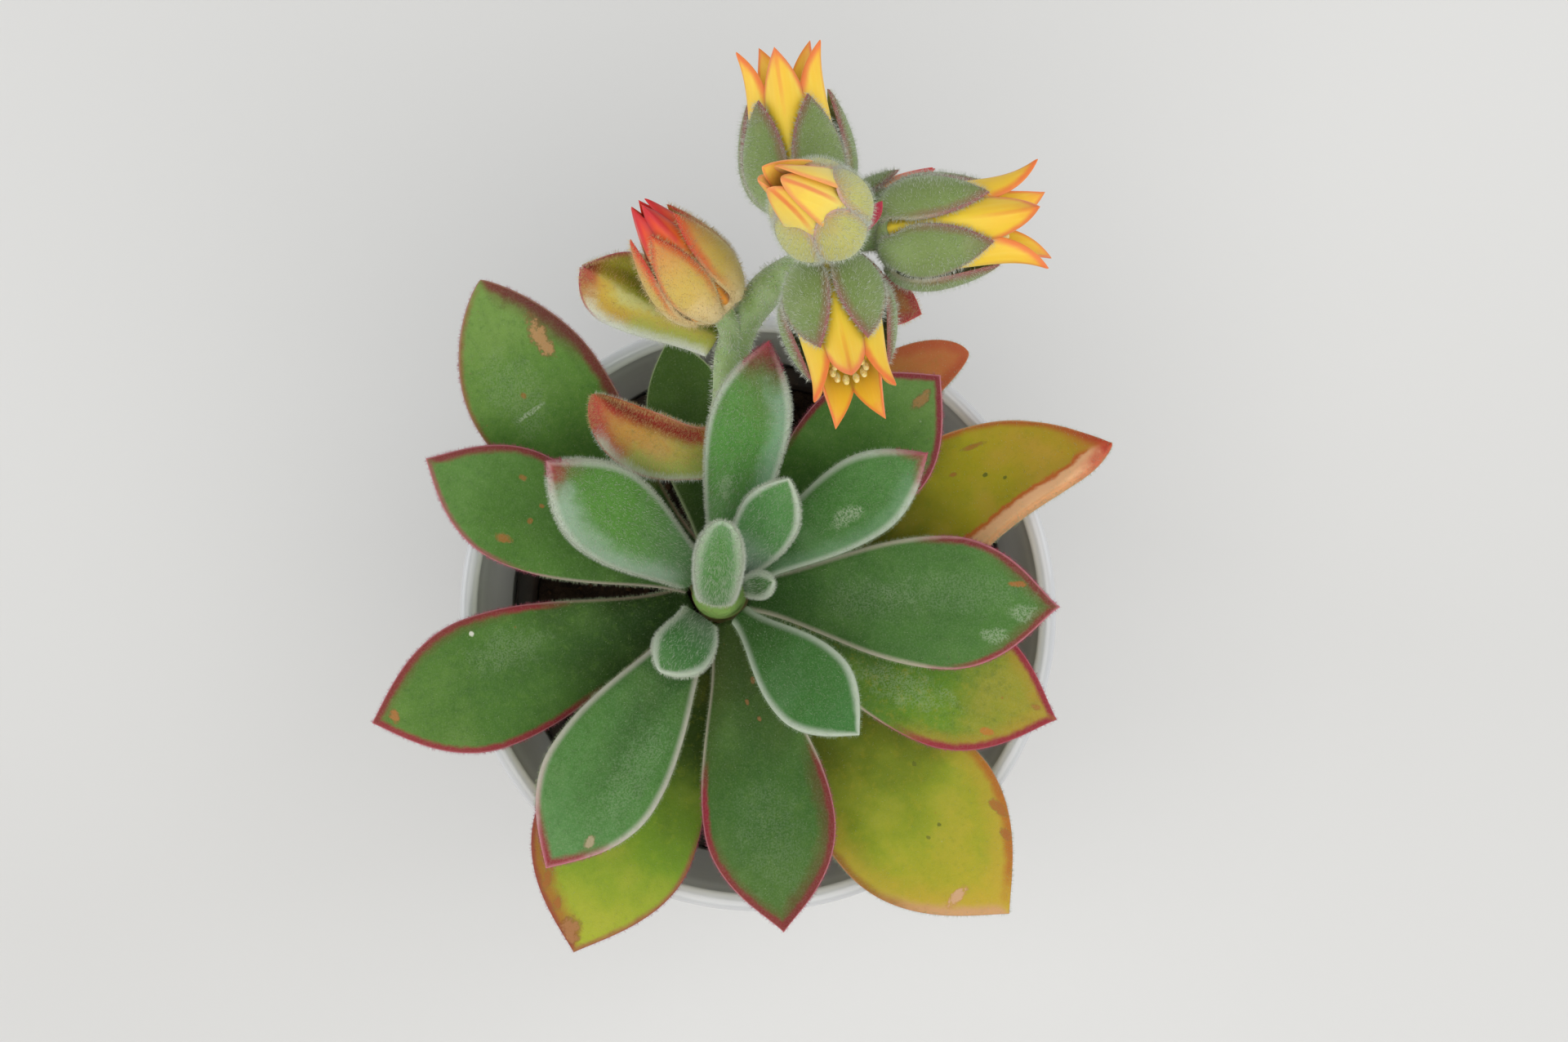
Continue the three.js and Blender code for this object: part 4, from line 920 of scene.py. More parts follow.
def cut_from(made, skin):
    """Cuts a skin out of a piece's mesh."""
    mesh = bpy.data.meshes.new("drill")
    mesh.from_pydata((skin.points * MM).tolist(), [], skin.faces.tolist())
    drill = bpy.data.objects.new("drill", mesh)
    bpy.context.scene.collection.objects.link(drill)
    cut = made.modifiers.new("holes", "BOOLEAN")
    cut.operation = "DIFFERENCE"
    cut.solver = "EXACT"
    cut.object = drill
    graph = bpy.context.evaluated_depsgraph_get()
    shape = bpy.data.meshes.new_from_object(made.evaluated_get(graph))
    made.modifiers.clear()
    made.data = shape
    bpy.data.objects.remove(drill)


def soil_height(x, y):
    """Height of the soil's surface: broad lumps as products and sums of sines, and finer waves on them."""
    broad = np.sin(0.41 * x + 1.3) * np.cos(0.37 * y) + 0.6 * np.sin(0.9 * x + 1.1 * y)
    return SOIL_TOP + SOIL_LUMP * broad + 0.3 * waves(x, y, 3.2, 5) + 0.12 * waves(x, y, 1.1, 6)


def make_soil():
    """The soil: a turned plug that fills the nursery pot, its top raised and lowered by soil_height."""
    slope = (LINER_TOP_RADIUS - LINER_FLOOR_RADIUS) / (LINER_TOP - 3 - POT_FLOOR - GAP - 0.8)
    floor = POT_FLOOR + 2 * GAP + LINER_WALL
    foot = LINER_FLOOR_RADIUS - LINER_WALL - 2 * GAP
    rim = foot + slope * (SOIL_TOP - POT_FLOOR - GAP - 0.8)
    profile = [(0, floor), (foot - 0.5, floor), (rim, SOIL_TOP - 1)]
    profile += [(r, SOIL_TOP) for r in np.linspace(rim - 0.1, 0.4, 76)] + [(0, SOIL_TOP)]
    skin = lathe(profile, 180)
    x, y, z = skin.points.T
    skin.points[:, 2] = np.where(z >= SOIL_TOP - 1, soil_height(x, y) - (SOIL_TOP - z), z)
    skin.marks["tint"] = 0.3 + 0.3 * np.clip(waves(x, y, 2.0, 8), -1, 1)
    piece("potting_soil", skin, soil_finish("peat"), ["soil"])
    make_crumbs(rim - 1.2)


def make_crumbs(reach):
    """Loose crumbs: icosahedra with random sizes, squashes and turns, half sunk in the soil."""
    draw = np.random.default_rng(11)
    count = CRUMBS
    gold = (1 + math.sqrt(5)) / 2
    sides = [(a, b * gold) for a in (-1, 1) for b in (-1, 1)]
    corners = [(0, a, b) for a, b in sides] + [(b, 0, a) for a, b in sides] + [(a, b, 0) for a, b in sides]
    ball = unit(np.array(corners, float))
    faces = []
    for i in range(12):
        for j in range(i + 1, 12):
            for k in range(j + 1, 12):
                sides = [ball[i] - ball[j], ball[j] - ball[k], ball[k] - ball[i]]
                if max(np.linalg.norm(side) for side in sides) < 1.1:
                    out = np.dot(np.cross(ball[j] - ball[i], ball[k] - ball[i]), ball[i]) > 0
                    faces.append((i, j, k) if out else (i, k, j))
    size = 0.35 + 0.75 * draw.random(count) ** 3
    stretch = size[:, None] * draw.uniform(0.6, 1.3, (count, 3))
    rough = draw.uniform(0.82, 1.15, (count, 12, 1))
    shapes = ball[None] * rough * stretch[:, None]
    turns = np.linalg.qr(draw.normal(size=(count, 3, 3)))[0]
    turns[np.linalg.det(turns) < 0] *= -1
    shapes = np.einsum("nij,nkj->nki", turns, shapes)
    radius = reach * np.sqrt(draw.random(count))
    angle = draw.uniform(0, TAU, count)
    x, y = radius * np.cos(angle), radius * np.sin(angle)
    middle = np.stack([x, y, soil_height(x, y) + 0.25 * size], -1)
    points = (shapes + middle[:, None]).reshape(-1, 3)
    all_faces = (12 * np.arange(count)[:, None, None] + np.array(faces)).reshape(-1, 3)
    tint = np.repeat(draw.random(count), 12)
    crumbs = Skin(points, all_faces, tint=tint)
    piece("soil_crumbs", crumbs, soil_finish("crumbs"))


# The stem and the flower stalk

STEM_X, STEM_Y = -5.0, 3.0
STEM_FOOT, STEM_TOP = 38.0, 101.0
STEM_FOOT_RADIUS, STEM_TOP_RADIUS = 5.0, 2.9
LEAF_SCARS = 16


def stem_radius(z):
    return STEM_FOOT_RADIUS + (z - STEM_FOOT) / (STEM_TOP - STEM_FOOT) * (STEM_TOP_RADIUS - STEM_FOOT_RADIUS)


def make_stem():
    """The stem: a narrowing rod, a little wavy, with the low dents of fallen leaves' scars."""
    heights = np.linspace(STEM_FOOT, STEM_TOP, 150)
    profile = [(0, STEM_FOOT)] + [(stem_radius(z), z) for z in heights]
    profile += [(0.75 * STEM_TOP_RADIUS, STEM_TOP + 1.1), (0.4 * STEM_TOP_RADIUS, STEM_TOP + 1.5)]
    profile += [(0, STEM_TOP + 1.6)]
    skin = lathe(profile, 64)
    x, y, z = skin.points.T
    angle = np.arctan2(y, x)
    scar = np.zeros(len(z))
    for k in range(LEAF_SCARS):
        middle, way = SOIL_TOP + 2 + 2.6 * k, 2.4 * k
        across = np.angle(np.exp(1j * (angle - way))) * stem_radius(z) / 2.1
        scar = np.maximum(scar, np.exp(-(across ** 2 + ((z - middle) / 0.9) ** 2) ** 2))
    bulge = 1 + 0.05 * waves(3 * angle, z, 9, 3, 8) - 0.08 * scar
    inside = (z < STEM_TOP) & (z > STEM_FOOT + 1)
    skin.points[:, :2] *= np.where(inside, bulge, 1)[:, None]
    skin.points += (STEM_X, STEM_Y, 0)
    skin.marks["scar"] = scar
    piece("stem_bark", skin, bark_finish(), ["stem"])


STALK_ROUTE = [
    (-4.6, 7.6, 87.5), (-4.2, 15, 91), (-3.7, 25, 97), (-2.8, 34.4, 103.5),
    (1, 40.6, 110), (5.6, 43.4, 115.5), (9, 45, 120.5),
]
STALK_RADIUS = 2.2
KNOT_SWELL = 1.2
PEDICEL_RADIUS = 1.4
STALK_HAIRS = 7000

# Each bloom's base, its aim in the length of its axis, its spin about that in degrees, how far its petals
# are open, its size, and the place on the stalk's route where its short stem leaves it
BLOOMS = {
    "bloom_top": ((6, 49.4, 121), (-3, 20, 3), 90, 0.7, 1, -1),
    "bloom_middle": ((8.8, 47.6, 131), (-3.6, 3.0, 17.5), 20, -0.02, 0.9, -1),
    "bloom_right": ((14.6, 46.7, 121.4), (20.9, 2.2, 3), 0, 1, 1, -1),
    "bloom_lower": ((8.8, 42.2, 122.4), (3.2, -16, 12.4), 66, 0.65, 1, -1),
    "bud_left": ((-4.3, 38.4, 110), (-10, 12.6, 7), 0, -0.08, 0.86, 3),
    "bud_hidden": ((11.4, 48, 111), (11.5, 8, -1.5), 0, -0.1, 0.66, 5),
}
BUDS = ("bud_left", "bud_hidden")


def make_stalk():
    """The stalk, its knot and the blooms' short stems: round tubes, a short stem on a bent line from
    the stalk that meets its bloom squarely."""
    line = curve_through(STALK_ROUTE, 90)
    swell = STALK_RADIUS * (1 + 0.05 * waves(np.linspace(0, 50, 90), np.zeros(90), 12, 4))
    parts = [tube(line, swell, 40)]
    knot = np.array(STALK_ROUTE[-1], float)
    round_knot = lathe(arc((0, 0), STALK_RADIUS * KNOT_SWELL, -90, 90, 16), 24)
    round_knot.marks.update(run=np.full(len(round_knot.points), 0.99), spin=round_knot.points[:, 0])
    parts.append(round_knot.turned(np.eye(3), knot))
    for base, aim, _, _, _, root in BLOOMS.values():
        way = unit(np.array(aim, float))
        end = np.array(base, float) + 0.4 * way
        bend = np.array(base, float) - 1.9 * way
        start = np.array(STALK_ROUTE[root], float)
        t = np.linspace(0, 1, 16)[:, None]
        line = (1 - t) ** 2 * start + 2 * (1 - t) * t * bend + t ** 2 * end
        radii = PEDICEL_RADIUS * (1 + 0.25 * (1 - t[:, 0]) ** 3 + 0.2 * t[:, 0] ** 4)
        parts.append(tube(line, radii, 24))
    skin = together(parts)
    piece("hairy_stalk", skin, stalk_finish(), ["flower_stalk"])
    coat = hairs(skin, np.ones(len(skin.points)), STALK_HAIRS, 0.75, 0.5, 21, 0.035)
    piece("stalk_hairs", coat, hair_finish("stalk_hair", "e4e8d8"))


# Leaves

# Each leaf's turn about the stem in degrees, its seat's height, its reach outwards and climb, the angles
# that it rises and ends at, and its width, thickness and sideways bend, in millimetres
LEAF_COLUMNS = ("turn", "seat", "reach", "climb", "rise", "fall", "width", "thick", "sweep")
LEAF_ROWS = [
    (44, 72, 41, 12, 22, 4, 13, 3.4, 2.5),
    (-48, 73, 52.5, 10, 22, -4, 23.5, 4, -0.8),
    (21, 78.5, 50, 12.5, 25, 14, 19, 5, 0),
    (-112, 76.5, 46.5, 8.5, 22, 0, 21.5, 4, -1.2),
    (-20.5, 82, 42.5, 9, 24, 4, 18, 4, 0),
    (127, 75.5, 45.5, 22.5, 32, 24, 19.5, 4.2, 3.6),
    (44.5, 83, 35.5, 14, 32, 16, 17.5, 4, 0),
    (-159.5, 80, 43, 14, 30, 8, 17.5, 4.2, 0.5),
    (101, 82, 30, 6, 12, 12, 11, 3, -1),
    (155, 84.5, 36.5, 14.5, 32, 12, 15, 4.2, 1),
    (-79, 83, 40, 11, 30, 2, 17, 4.2, 1.3),
    (-2, 87, 39, 15, 36, 10, 17, 4.4, 0),
    (-122, 87, 36.5, 14, 34, 10, 15.5, 4.2, 0),
    (34, 89.5, 27.5, 18.5, 42, 26, 10.5, 4, 0),
    (78, 92, 27.5, 25, 56, 30, 10, 4.4, 0.5),
    (141, 93, 22, 22, 56, 32, 11.5, 4.4, 0.5),
    (-44, 93.5, 20.5, 16.5, 50, 24, 11, 3.6, 0),
    (58, 96.5, 13, 19.5, 66, 44, 7.6, 2.8, -0.8),
    (-127, 97, 7.2, 17, 76, 56, 7.4, 2.6, 1),
    (14, 98, 3.6, 12, 82, 64, 3.4, 1.8, 0),
    (-97, 103, -9.4, 19, 88, 138, 6.8, 3.4, 0),
]
LAST_OLD = 4
FIRST_YOUNG = 14
CROWN = 21
ROSY_FROM = 4

# How single leaves differ from the blade's own form, by number
LEAF_FORMS = {
    1: {"roundness": 0.55, "point": 0, "width": 9.8, "skew": 0.42},
    3: {"swell": 0.2, "fold": 2.4, "nip": 0.34, "roll": -42},
    5: {"point": 0.35},
    6: {"roundness": 0.85, "point": 0, "width": 18, "skew": 0.09},
    11: {"point": 0.35},
    12: {"point": 0.5},
    14: {"swell": 0.4, "cup": 0, "neck": 0.34},
    15: {"swell": 0.5, "cup": -0.12, "neck": 0.46},
    16: {"swell": 0.5, "cup": -0.12, "neck": 0.46, "roundness": 0.95, "widest": 0.6},
    17: {"cup": 0.14},
    18: {"swell": 0.4, "neck": 0.55, "roundness": 0.8},
    19: {"swell": 0.35, "neck": 0.7, "roundness": 0.7, "point": 0},
    20: {"neck": 0.7, "roundness": 0.7},
    21: {"swell": 0.55, "neck": 0.7, "roundness": 0.5, "point": 0, "cup": 0, "width": 5.8},
}
LEAF_RELIEF = {"groove": 0.5, "wave": 0.14}
YOUNG_RELIEF = {"groove": 0.1, "wave": 0.05}
LEAF_RINGS, LEAF_SIDES = 84, 56

# A young leaf's hairs a square millimetre, their length, and how much denser they are at the margin
COATS = {
    14: (6, 0.45, 4), 15: (12, 0.5, 4), 16: (14, 0.55, 4), 17: (5, 0.45, 5),
    18: (13, 0.5, 5), 19: (12, 0.5, 5), 20: (16, 0.45, 5), 21: (22, 0.6, 5),
}
OLD_COAT = (4, 0.45, 20)
DULL_COATED = (14, 17)
MARGIN_REACH = 0.45
FEWEST_HAIRS = 20


def make_leaves():
    """Each leaf: a blade seated on the stem at its height and turned its way, and its coat of hairs,
    dense along the margins and on the young leaves, and rosy where the margin is red."""
    pale = hair_finish("leaf_hair", "c3cab6")
    dull = hair_finish("dull_leaf_hair", "9db08c")
    green = hair_finish("old_leaf_hair", "a5b088")
    rosy = hair_finish("rosy_leaf_hair", "a8485c")
    for number, (row, look) in enumerate(zip(LEAF_ROWS, LEAF_LOOKS), 1):
        name = f"leaf_{number:02d}"
        young = number >= FIRST_YOUNG
        shape = dict(zip(LEAF_COLUMNS, row))
        relief = YOUNG_RELIEF if young else LEAF_RELIEF
        form = {**shape, **relief, "seed": number, **LEAF_FORMS.get(number, {})}
        skin = blade(form, LEAF_RINGS, LEAF_SIDES)
        lean = 0.3 * shape["thick"] * math.sin(math.radians(shape["rise"]))
        away = 0 if number == CROWN else stem_radius(shape["seat"]) + GAP + lean
        turn = turn_flat(shape["turn"])
        foot = turn @ (away, 0, 0) + (STEM_X, STEM_Y, shape["seat"])
        skin = skin.turned(turn, foot)
        slot = "old_leaf" if number <= LAST_OLD else "leaf"
        piece(f"{name}_skin", skin, leaf_finish(f"{name}_skin", look, number), [name])
        tone = green if not young else dull if number in DULL_COATED else pale
        crowd, length, denser = COATS.get(number, OLD_COAT)
        edge, along = skin.marks["edge"], skin.marks["along"]
        chance = 1 + denser * np.exp(-(edge / MARGIN_REACH) ** 2)
        reddened = bool(look["stripes"]) and number >= ROSY_FROM
        far = (along > look["turns_red"]) & (edge < (3 if young else 1.6)) & reddened
        for end, share, finish in (("hairs", chance * ~far, tone), ("red_hairs", chance * far, rosy)):
            count = int(skin_area(skin, share) * crowd / (1 + 0.15 * denser))
            if count > FEWEST_HAIRS:
                coat = hairs(skin, share, count, length, 0.5, number, 0.02 if young else 0.018)
                piece(f"{name}_{end}", coat, finish)


def skin_area(skin, weight):
    """A skin's area in square millimetres, each triangle times the weight at its corners."""
    return 0.5 * (np.linalg.norm(skin.outwards(), axis=1) * weight[skin.faces].mean(1)).sum()


# Bracts and blooms

BRACT_COLUMNS = ("base", "tip", "rise", "fall", "width", "thick")
BRACTS = {
    "bract_brown": ((-6.6, 21, 97.5), (-20.5, 28.4, 103), 30, 20, 9, 3),
    "bract_boat": ((-5, 35.6, 103.5), (-21.5, 43.9, 110), 10, 35, 9, 2.4),
    "bract_red": ((8.1, 42.4, 115.2), (20.4, 37.7, 115), 6, 10, 6, 1.6),
    "bract_pink_upper": ((12.6, 46.8, 124), (15.2, 50.4, 128), 70, 20, 1.8, 1),
    "bract_pink_lower": ((12.8, 44.4, 120), (15.6, 40.8, 119.5), 50, 10, 1.8, 1),
}
BRACT_LOOKS = {
    "bract_brown": {
        **LEAF_LOOK, "base": "a09c40", "main": "b8883c", "tip": "a8602c", "under": "c9c49c",
        "deep": "c3c49c", "groove_shade_share": 0, "margin": "b8806c", "margin_end": "a8503c", "margin_wide": 0.5,
        "haze": 0.1,
        "stripes": [(-1, 0, 1, 1.4, 3.0, "9c2622", 0.95), (-1, 0, 1, 0.2, 0.9, "b06430", 0.8),
                    (1, 0, 0.55, 2.0, 4.4, "9caa50", 0.85), (1, 0.55, 1, 0.6, 2.6, "b02c34", 0.85),
                    (1, 0, 0.75, 0.2, 1.6, "ccd0b8", 0.8), (0, 0.93, 1, 0.9, 2.4, "a8482c", 0.7)],
    },
    "bract_boat": {
        **LEAF_LOOK, "base": "748a1c", "main": "98a02c", "tip": "b8962c", "under": "bfa252",
        "deep": "cfd2a8", "groove_shade_share": 0, "margin": "d9dcd0", "margin_end": "a84a5c", "turns_red": 0.72,
        "haze": 0.08,
        "stripes": [(1, 0, 0.95, 4.2, 5.2, "c4c284", 0.7), (1, 0, 1, 2.6, 4.2, "bda63c", 0.9),
                    (1, 0.3, 1, 1.6, 3.0, "c08c30", 0.5), (1, 0, 0.55, 1.4, 3.6, "a4b050", 0.8),
                    (1, 0, 0.85, 0.2, 1.7, "d8dccc", 0.85), (0, 0.88, 1, 0.9, 2.4, "9c3034", 0.85),
                    (-1, 0.3, 1, 0.2, 1.1, "a03844", 0.8)],
    },
    "bract_red": {
        **LEAF_LOOK, "base": "6c7c30", "main": "8a5a2c", "tip": "a85a34", "under": "8a8a4a",
        "deep": "8a8a4a", "groove_shade_share": 0.1, "margin": "a83048", "margin_end": "b84450", "haze": 0.15,
        "stripes": [(0, 0.2, 1, 0.5, 1.6, "982838", 0.8)],
    },
    "bract_pink_upper": {
        **LEAF_LOOK, "base": "c08080", "main": "b83450", "tip": "b02444", "under": "bd5c68",
        "deep": "bd5c68", "groove_shade_share": 0, "margin": "cf6c7c", "margin_end": "c84460", "margin_wide": 0.2,
    },
    "bract_pink_lower": {
        **LEAF_LOOK, "base": "c9a890", "main": "c0604e", "tip": "ab3238", "under": "c09484",
        "deep": "c09484", "groove_shade_share": 0, "margin": "cfbfa8", "margin_end": "b84448", "margin_wide": 0.2,
    },
}
BRACT_FORMS = {
    "bract_brown": {
        "swell": 0.5, "cup": 0, "thick": 2.2, "roundness": 0.7, "point": 0, "sweep": 3.2, "width": 8.4,
        "neck": 0.85, "widest": 0.4,
        "section": [(-1, 1.8), (-0.72, -0.6), (-0.4, 1.1), (0, 1.4), (0.5, 0.3), (1, -2.4)],
    },
    "bract_boat": {
        "swell": 0.3, "cup": 0, "thick": 2.2, "roundness": 0.8, "width": 9.8, "neck": 0.6,
        "section": [(-1, 2.4), (-0.78, 0.2), (-0.48, -1.6), (-0.1, 1.0), (0.15, 1.7), (0.5, 0.9), (1, -2.8)],
    },
}


def make_bracts():
    """Each bract: a blade from its base to its tip, and golden hairs, white ones along a pale margin."""
    gold = hair_finish("bract_hair", "d8b878")
    white = hair_finish("white_bract_hair", "dfe2d6")
    for number, (name, numbers) in enumerate(BRACTS.items(), 31):
        row = dict(zip(BRACT_COLUMNS, numbers))
        way = np.subtract(row["tip"], row["base"])
        shape = {**row, "reach": math.hypot(way[0], way[1]), "climb": way[2], "neck": 0.5, "seed": number}
        skin = blade({**shape, **BRACT_FORMS.get(name, {})}, 56, 48)
        skin = skin.turned(turn_flat(math.degrees(math.atan2(way[1], way[0]))), row["base"])
        piece(f"{name}_skin", skin, leaf_finish(f"{name}_skin", BRACT_LOOKS[name], number), [name])
        count, length = (260, 0.3) if row["width"] < 3 else (2400, 0.6)
        edge, offset, along, top = (skin.marks[key] for key in ("edge", "offset", "along", "top"))
        chance = 0.8 + 2 * np.exp(-edge / 0.5)
        pale = (edge < 1.6) & (offset > 0) & (along < 0.8) | (top < 0)
        pale = pale & (name in BRACT_FORMS)
        for end, share, finish in (("hairs", chance * ~pale, gold), ("white_hairs", chance * pale, white)):
            if share.any():
                coat = hairs(skin, share, count, length, 0.5, number, 0.02)
                piece(f"{name}_{end}", coat, finish)


SEPALS = 5
PETALS = 5
STAMENS = 10
SEPAL = {
    "base_radius": 3.9, "base_height": 1, "tip_radius": 5.6, "tip_height": 14.5, "rise": 24, "fall": 106,
    "width": 7.2, "thick": 1.3, "cup": 0.32, "neck": 0.5, "widest": 0.45,
}
PETAL = {
    "base_radius": 3.8, "base_height": 2.2, "tip_radius": 7, "tip_height": 20.5, "rise": 74, "fall": 44,
    "width": 5.8, "thick": 1.2, "cup": 0.5, "neck": 0.6, "widest": 0.45, "keel": 0.35,
}
BUD_SEPAL = {"tip_radius": 4.4, "rise": 38}
BUD_PETAL_TIP_RADIUS, BUD_PETAL_FALL = 1.6, 100
CUP_RADIUS = 4.4
TUBE_RADIUS = 4.2
TUBE_TOP = 12.0
PISTIL_RADIUS = 0.55
THREAD_RADIUS = 1.85
CUP_HAIRS = 8000

GREEN_CUP = {
    "base": "92a66e", "main": "748848", "tip": "705a3c", "cloud": "8c9a64", "blush": "8a5450",
    "margin": "9a5a62", "rim": "b0a890", "inside": "7c9058", "tip_from": 0.72, "blush_wide": 0.9,
    "blush_share": 0.55,
}
PALE_CUP = {
    "base": "d0d49c", "main": "bcb860", "tip": "b08a58", "cloud": "ccc67c", "blush": "c09078",
    "margin": "d4a49c", "rim": "dfe0cc", "inside": "b9b46a", "tip_from": 0.72, "blush_wide": 0.9,
    "blush_share": 0.5,
}
GOLD_CUP = {
    "base": "e8cf9c", "main": "cfae50", "tip": "d2462a", "cloud": "c9b458", "blush": "d4502c",
    "margin": "c83c34", "rim": "e4cc94", "inside": "b8862f", "tip_from": 0.5, "blush_wide": 1.3,
    "blush_share": 0.8,
}
YELLOW_CROWN = {
    "base": "efcf38", "main": "f4c434", "tip": "ec7c44", "vein": "f8d860", "keel": "e4703a", "rim": "e8683c",
    "tip_share": 0.6, "keel_share": 0.4, "keel_wide": 0.4, "rim_wide": 0.55, "red_from": 0.82,
}
PALE_CROWN = {
    **YELLOW_CROWN, "base": "ecdc74", "main": "f4cc4c", "tip": "e8884c", "rim": "ec8a54", "tip_share": 0.4,
    "keel_share": 0.8, "keel_wide": 0.5, "rim_wide": 0.5, "red_from": 0.8,
}
RED_CROWN = {
    "base": "f09a30", "main": "ee5c1c", "tip": "dc3226", "vein": "f4782c", "keel": "c82232", "rim": "c8242e",
    "tip_share": 0.85, "keel_share": 0.85, "keel_wide": 0.7, "rim_wide": 1.0, "red_from": 0.5,
}
BLOOM_LOOKS = {
    "bloom_top": (GREEN_CUP, YELLOW_CROWN), "bloom_middle": (PALE_CUP, PALE_CROWN),
    "bloom_right": (GREEN_CUP, YELLOW_CROWN), "bloom_lower": (GREEN_CUP, YELLOW_CROWN),
    "bud_left": (GOLD_CUP, RED_CROWN), "bud_hidden": (GREEN_CUP, RED_CROWN),
}
# How single blooms differ: the forms of their sepals and petals, and the lean of the petals' tips in x and
# y, in millimetres
SEPAL_FORMS = {
    "bloom_top": {"tip_radius": 5.0},
    "bloom_middle": {"tip_radius": 3.8, "width": 7.4, "roundness": 0.55, "point": 0, "neck": 0.6},
    "bloom_right": {"tip_radius": 5.0},
    "bloom_lower": {"tip_radius": 4.8},
    "bud_left": {"tip_height": 17.0, "tip_radius": 3.9, "point": 0.5},
    "bud_hidden": {},
}
PETAL_FORMS = {"bloom_middle": {"roll": 20, "width": 7.0, "roundness": 0.65, "point": 0, "cup": 0.3}}
PETAL_LEAN = {"bloom_middle": (-3.0, 0.6)}


def ring_of(count, shape, turn, rings, sides):
    """count blades alike round the Z axis, the first at that turn in degrees."""
    full = {**shape, "reach": shape["tip_radius"] - shape["base_radius"],
            "climb": shape["tip_height"] - shape["base_height"]}
    one = blade(full, rings, sides)
    one.points += (shape["base_radius"], 0, shape["base_height"])
    return [one.turned(turn_flat(turn + 360 * k / count)) for k in range(count)]


def calyx(name):
    """The cup: a shallow turned base and a ring of sepals round it."""
    sepal = {**SEPAL, **(BUD_SEPAL if name in BUDS else {}), **SEPAL_FORMS[name]}
    cup = lathe([(0, 0), (1.5, 0.05), (2.8, 0.25), (3.9, 0.8), (CUP_RADIUS, 1.7), (4.2, 2.3), (0, 2.3)], 40)
    cup.marks.update(edge=np.full(len(cup.points), 9.0), top=np.full(len(cup.points), -1.0))
    return together([cup, *ring_of(SEPALS, sepal, 0, 44, 40)])


def corolla(name, spread):
    """The crown: a tube whose foot sits in the cup, and a ring of petals that stand between the sepals.
    spread is 0 for petals as closed as a bud's and 1 for fully open ones."""
    petal = {
        **PETAL, **PETAL_FORMS.get(name, {}),
        "tip_radius": BUD_PETAL_TIP_RADIUS + spread * (PETAL["tip_radius"] - BUD_PETAL_TIP_RADIUS),
        "fall": BUD_PETAL_FALL + spread * (PETAL["fall"] - BUD_PETAL_FALL),
    }
    profile = [(0, 1.9), (TUBE_RADIUS - 0.5, 1.9), (TUBE_RADIUS, 5), (TUBE_RADIUS - 0.2, TUBE_TOP),
               (TUBE_RADIUS - 1, TUBE_TOP), (TUBE_RADIUS - 0.9, 5), (TUBE_RADIUS - 1.4, 3), (0, 3)]
    pipe = lathe(profile, 40)
    pipe.marks.update(edge=np.full(len(pipe.points), 9.0), top=np.full(len(pipe.points), -1.0))
    return together([pipe, *ring_of(PETALS, petal, 180 / PETALS, 44, 32)])


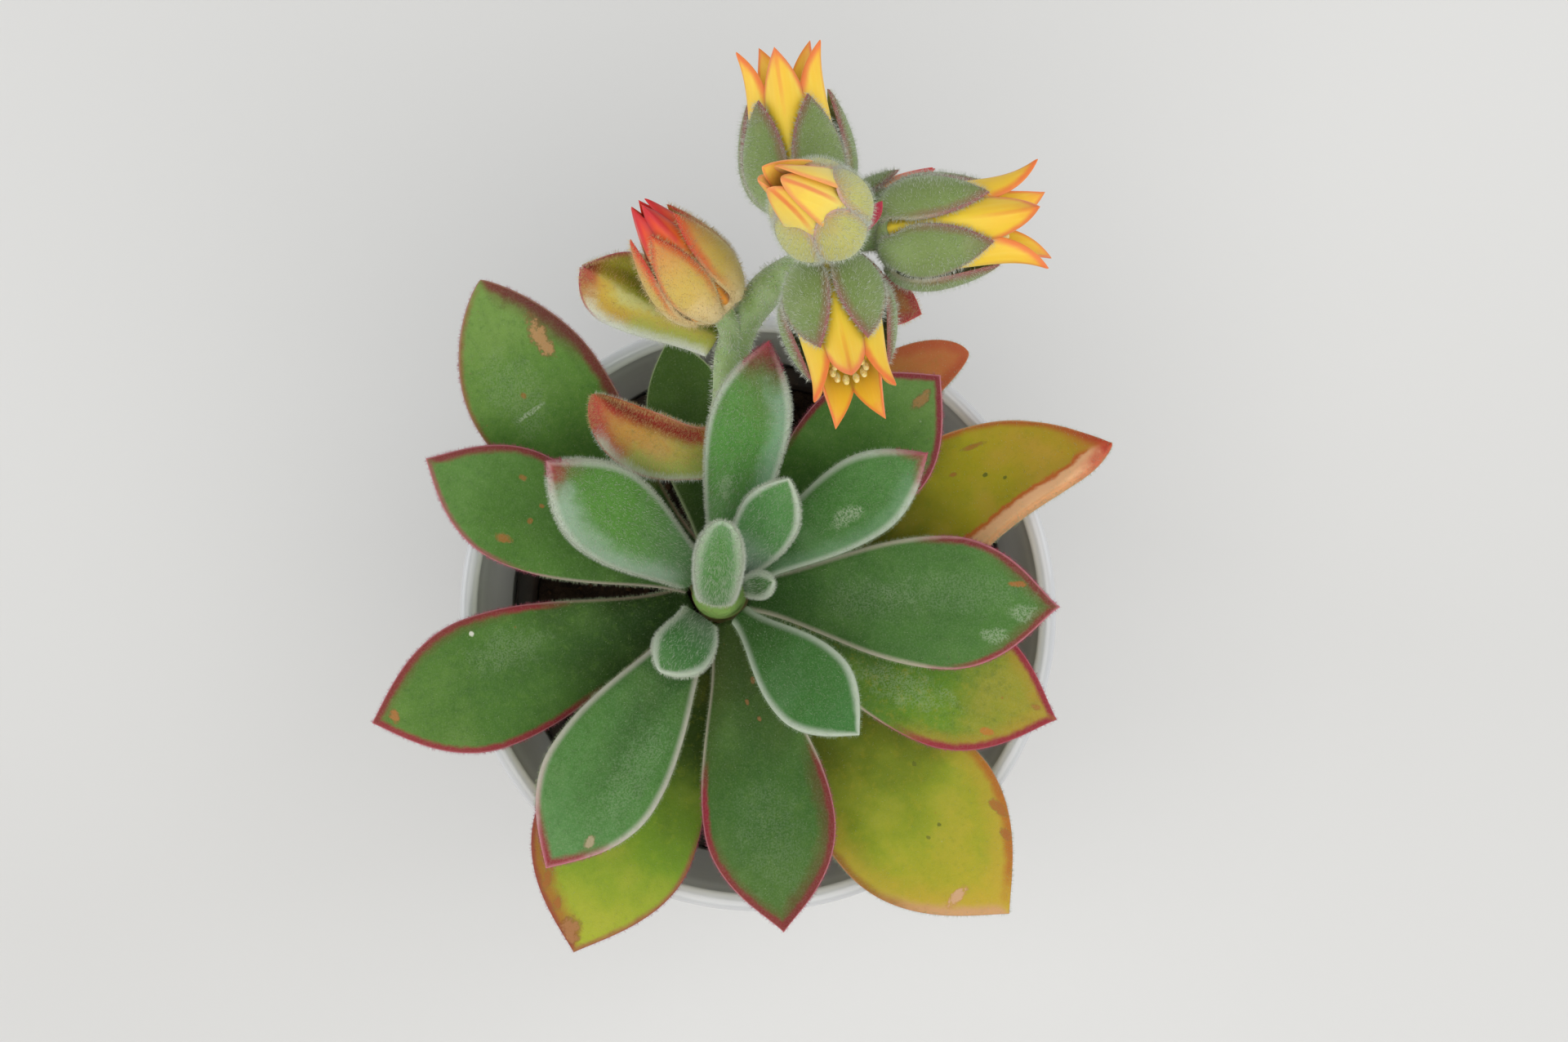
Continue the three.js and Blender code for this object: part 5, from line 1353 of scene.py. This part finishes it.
def stamens():
    """Filaments with swollen anthers round a five-parted pistil, on a disc."""
    parts = [lathe([(0, 3.3), (2.1, 3.3), (2.3, 3.7), (2.1, 4.1), (0, 4.1)], 24)]
    for k in range(PETALS):
        angle = TAU * k / PETALS
        x, y = PISTIL_RADIUS * math.cos(angle), PISTIL_RADIUS * math.sin(angle)
        line = [(x, y, 3.8), (1.2 * x, 1.2 * y, 8), (x, y, 12), (1.2 * x, 1.2 * y, 15)]
        parts.append(tube(line, [0.55, 0.5, 0.3, 0.16], 10))
    for k in range(STAMENS):
        angle = TAU * (k + 0.5) / STAMENS
        x, y = THREAD_RADIUS * math.cos(angle), THREAD_RADIUS * math.sin(angle)
        parts.append(tube([(x, y, 3.8), (x, y, 9), (1.05 * x, 1.05 * y, 15)], [0.26, 0.2, 0.14], 8))
        line = [(1.05 * x, 1.05 * y, 14.9), (1.08 * x, 1.08 * y, 15.2), (1.08 * x, 1.08 * y, 15.6)]
        pod = tube(line, [0.36, 0.46, 0.36], 10)
        pod.marks["along"] = np.ones(len(pod.points))
        parts.append(pod)
    return together(parts)


def make_blooms():
    """Each bloom: a cup with its hairs, a crown, and stamens where it is open. The petals' tips lean over
    by the square of a tenth of their height above 10 mm."""
    white = hair_finish("cup_hair", "d3d8c8")
    gold = hair_finish("gold_hair", "dfc890")
    for number, (name, numbers) in enumerate(BLOOMS.items(), 51):
        base, aim, spin, spread, size, _ = numbers
        cup_look, crown_look = BLOOM_LOOKS[name]
        turn = size * turn_to(aim) @ turn_flat(spin)
        cup = calyx(name).turned(turn, base)
        piece(f"{name}_cup", cup, sepal_finish(f"{name}_cup", number, cup_look), [f"{name}_calyx"])
        outer = (cup.marks["top"] < 0.2) * (0.8 + 3 * np.exp(-cup.marks["edge"] / 0.4))
        coat = hairs(cup, outer, CUP_HAIRS, 0.7, 0.45, number, 0.022)
        piece(f"{name}_cup_hairs", coat, gold if name == "bud_left" else white)
        plain = corolla(name, spread)
        crown = plain.turned(turn, base)
        lean = np.maximum(plain.points[:, 2] / 10 - 1, 0) ** 2
        crown.points[:, :2] += np.outer(lean, PETAL_LEAN.get(name, (0, 0)))
        finish = petal_finish(f"{name}_crown", number, crown_look)
        piece(f"{name}_crown", crown, finish, [f"{name}_corolla"])
        if name not in BUDS:
            threads = stamens().turned(turn, base)
            finish = stamen_finish(f"{name}_threads")
            piece(f"{name}_threads", threads, finish, [f"{name}_stamens"])


# The floor

FLOOR_REACH = 1.6


def make_floor():
    mesh = bpy.data.meshes.new("floor")
    corners = [(x * FLOOR_REACH, y * FLOOR_REACH, 0) for x, y in ((-1, -1), (1, -1), (1, 1), (-1, 1))]
    mesh.from_pydata(corners, [], [(0, 1, 2, 3)])
    mesh.materials.append(floor_finish().material)
    floor = bpy.data.objects.new("floor", mesh)
    bpy.context.scene.collection.objects.link(floor)


set_camera()
set_light()
make_floor()
make_pot()
make_nursery_pot()
make_soil()
make_stem()
make_stalk()
make_leaves()
make_bracts()
make_blooms()
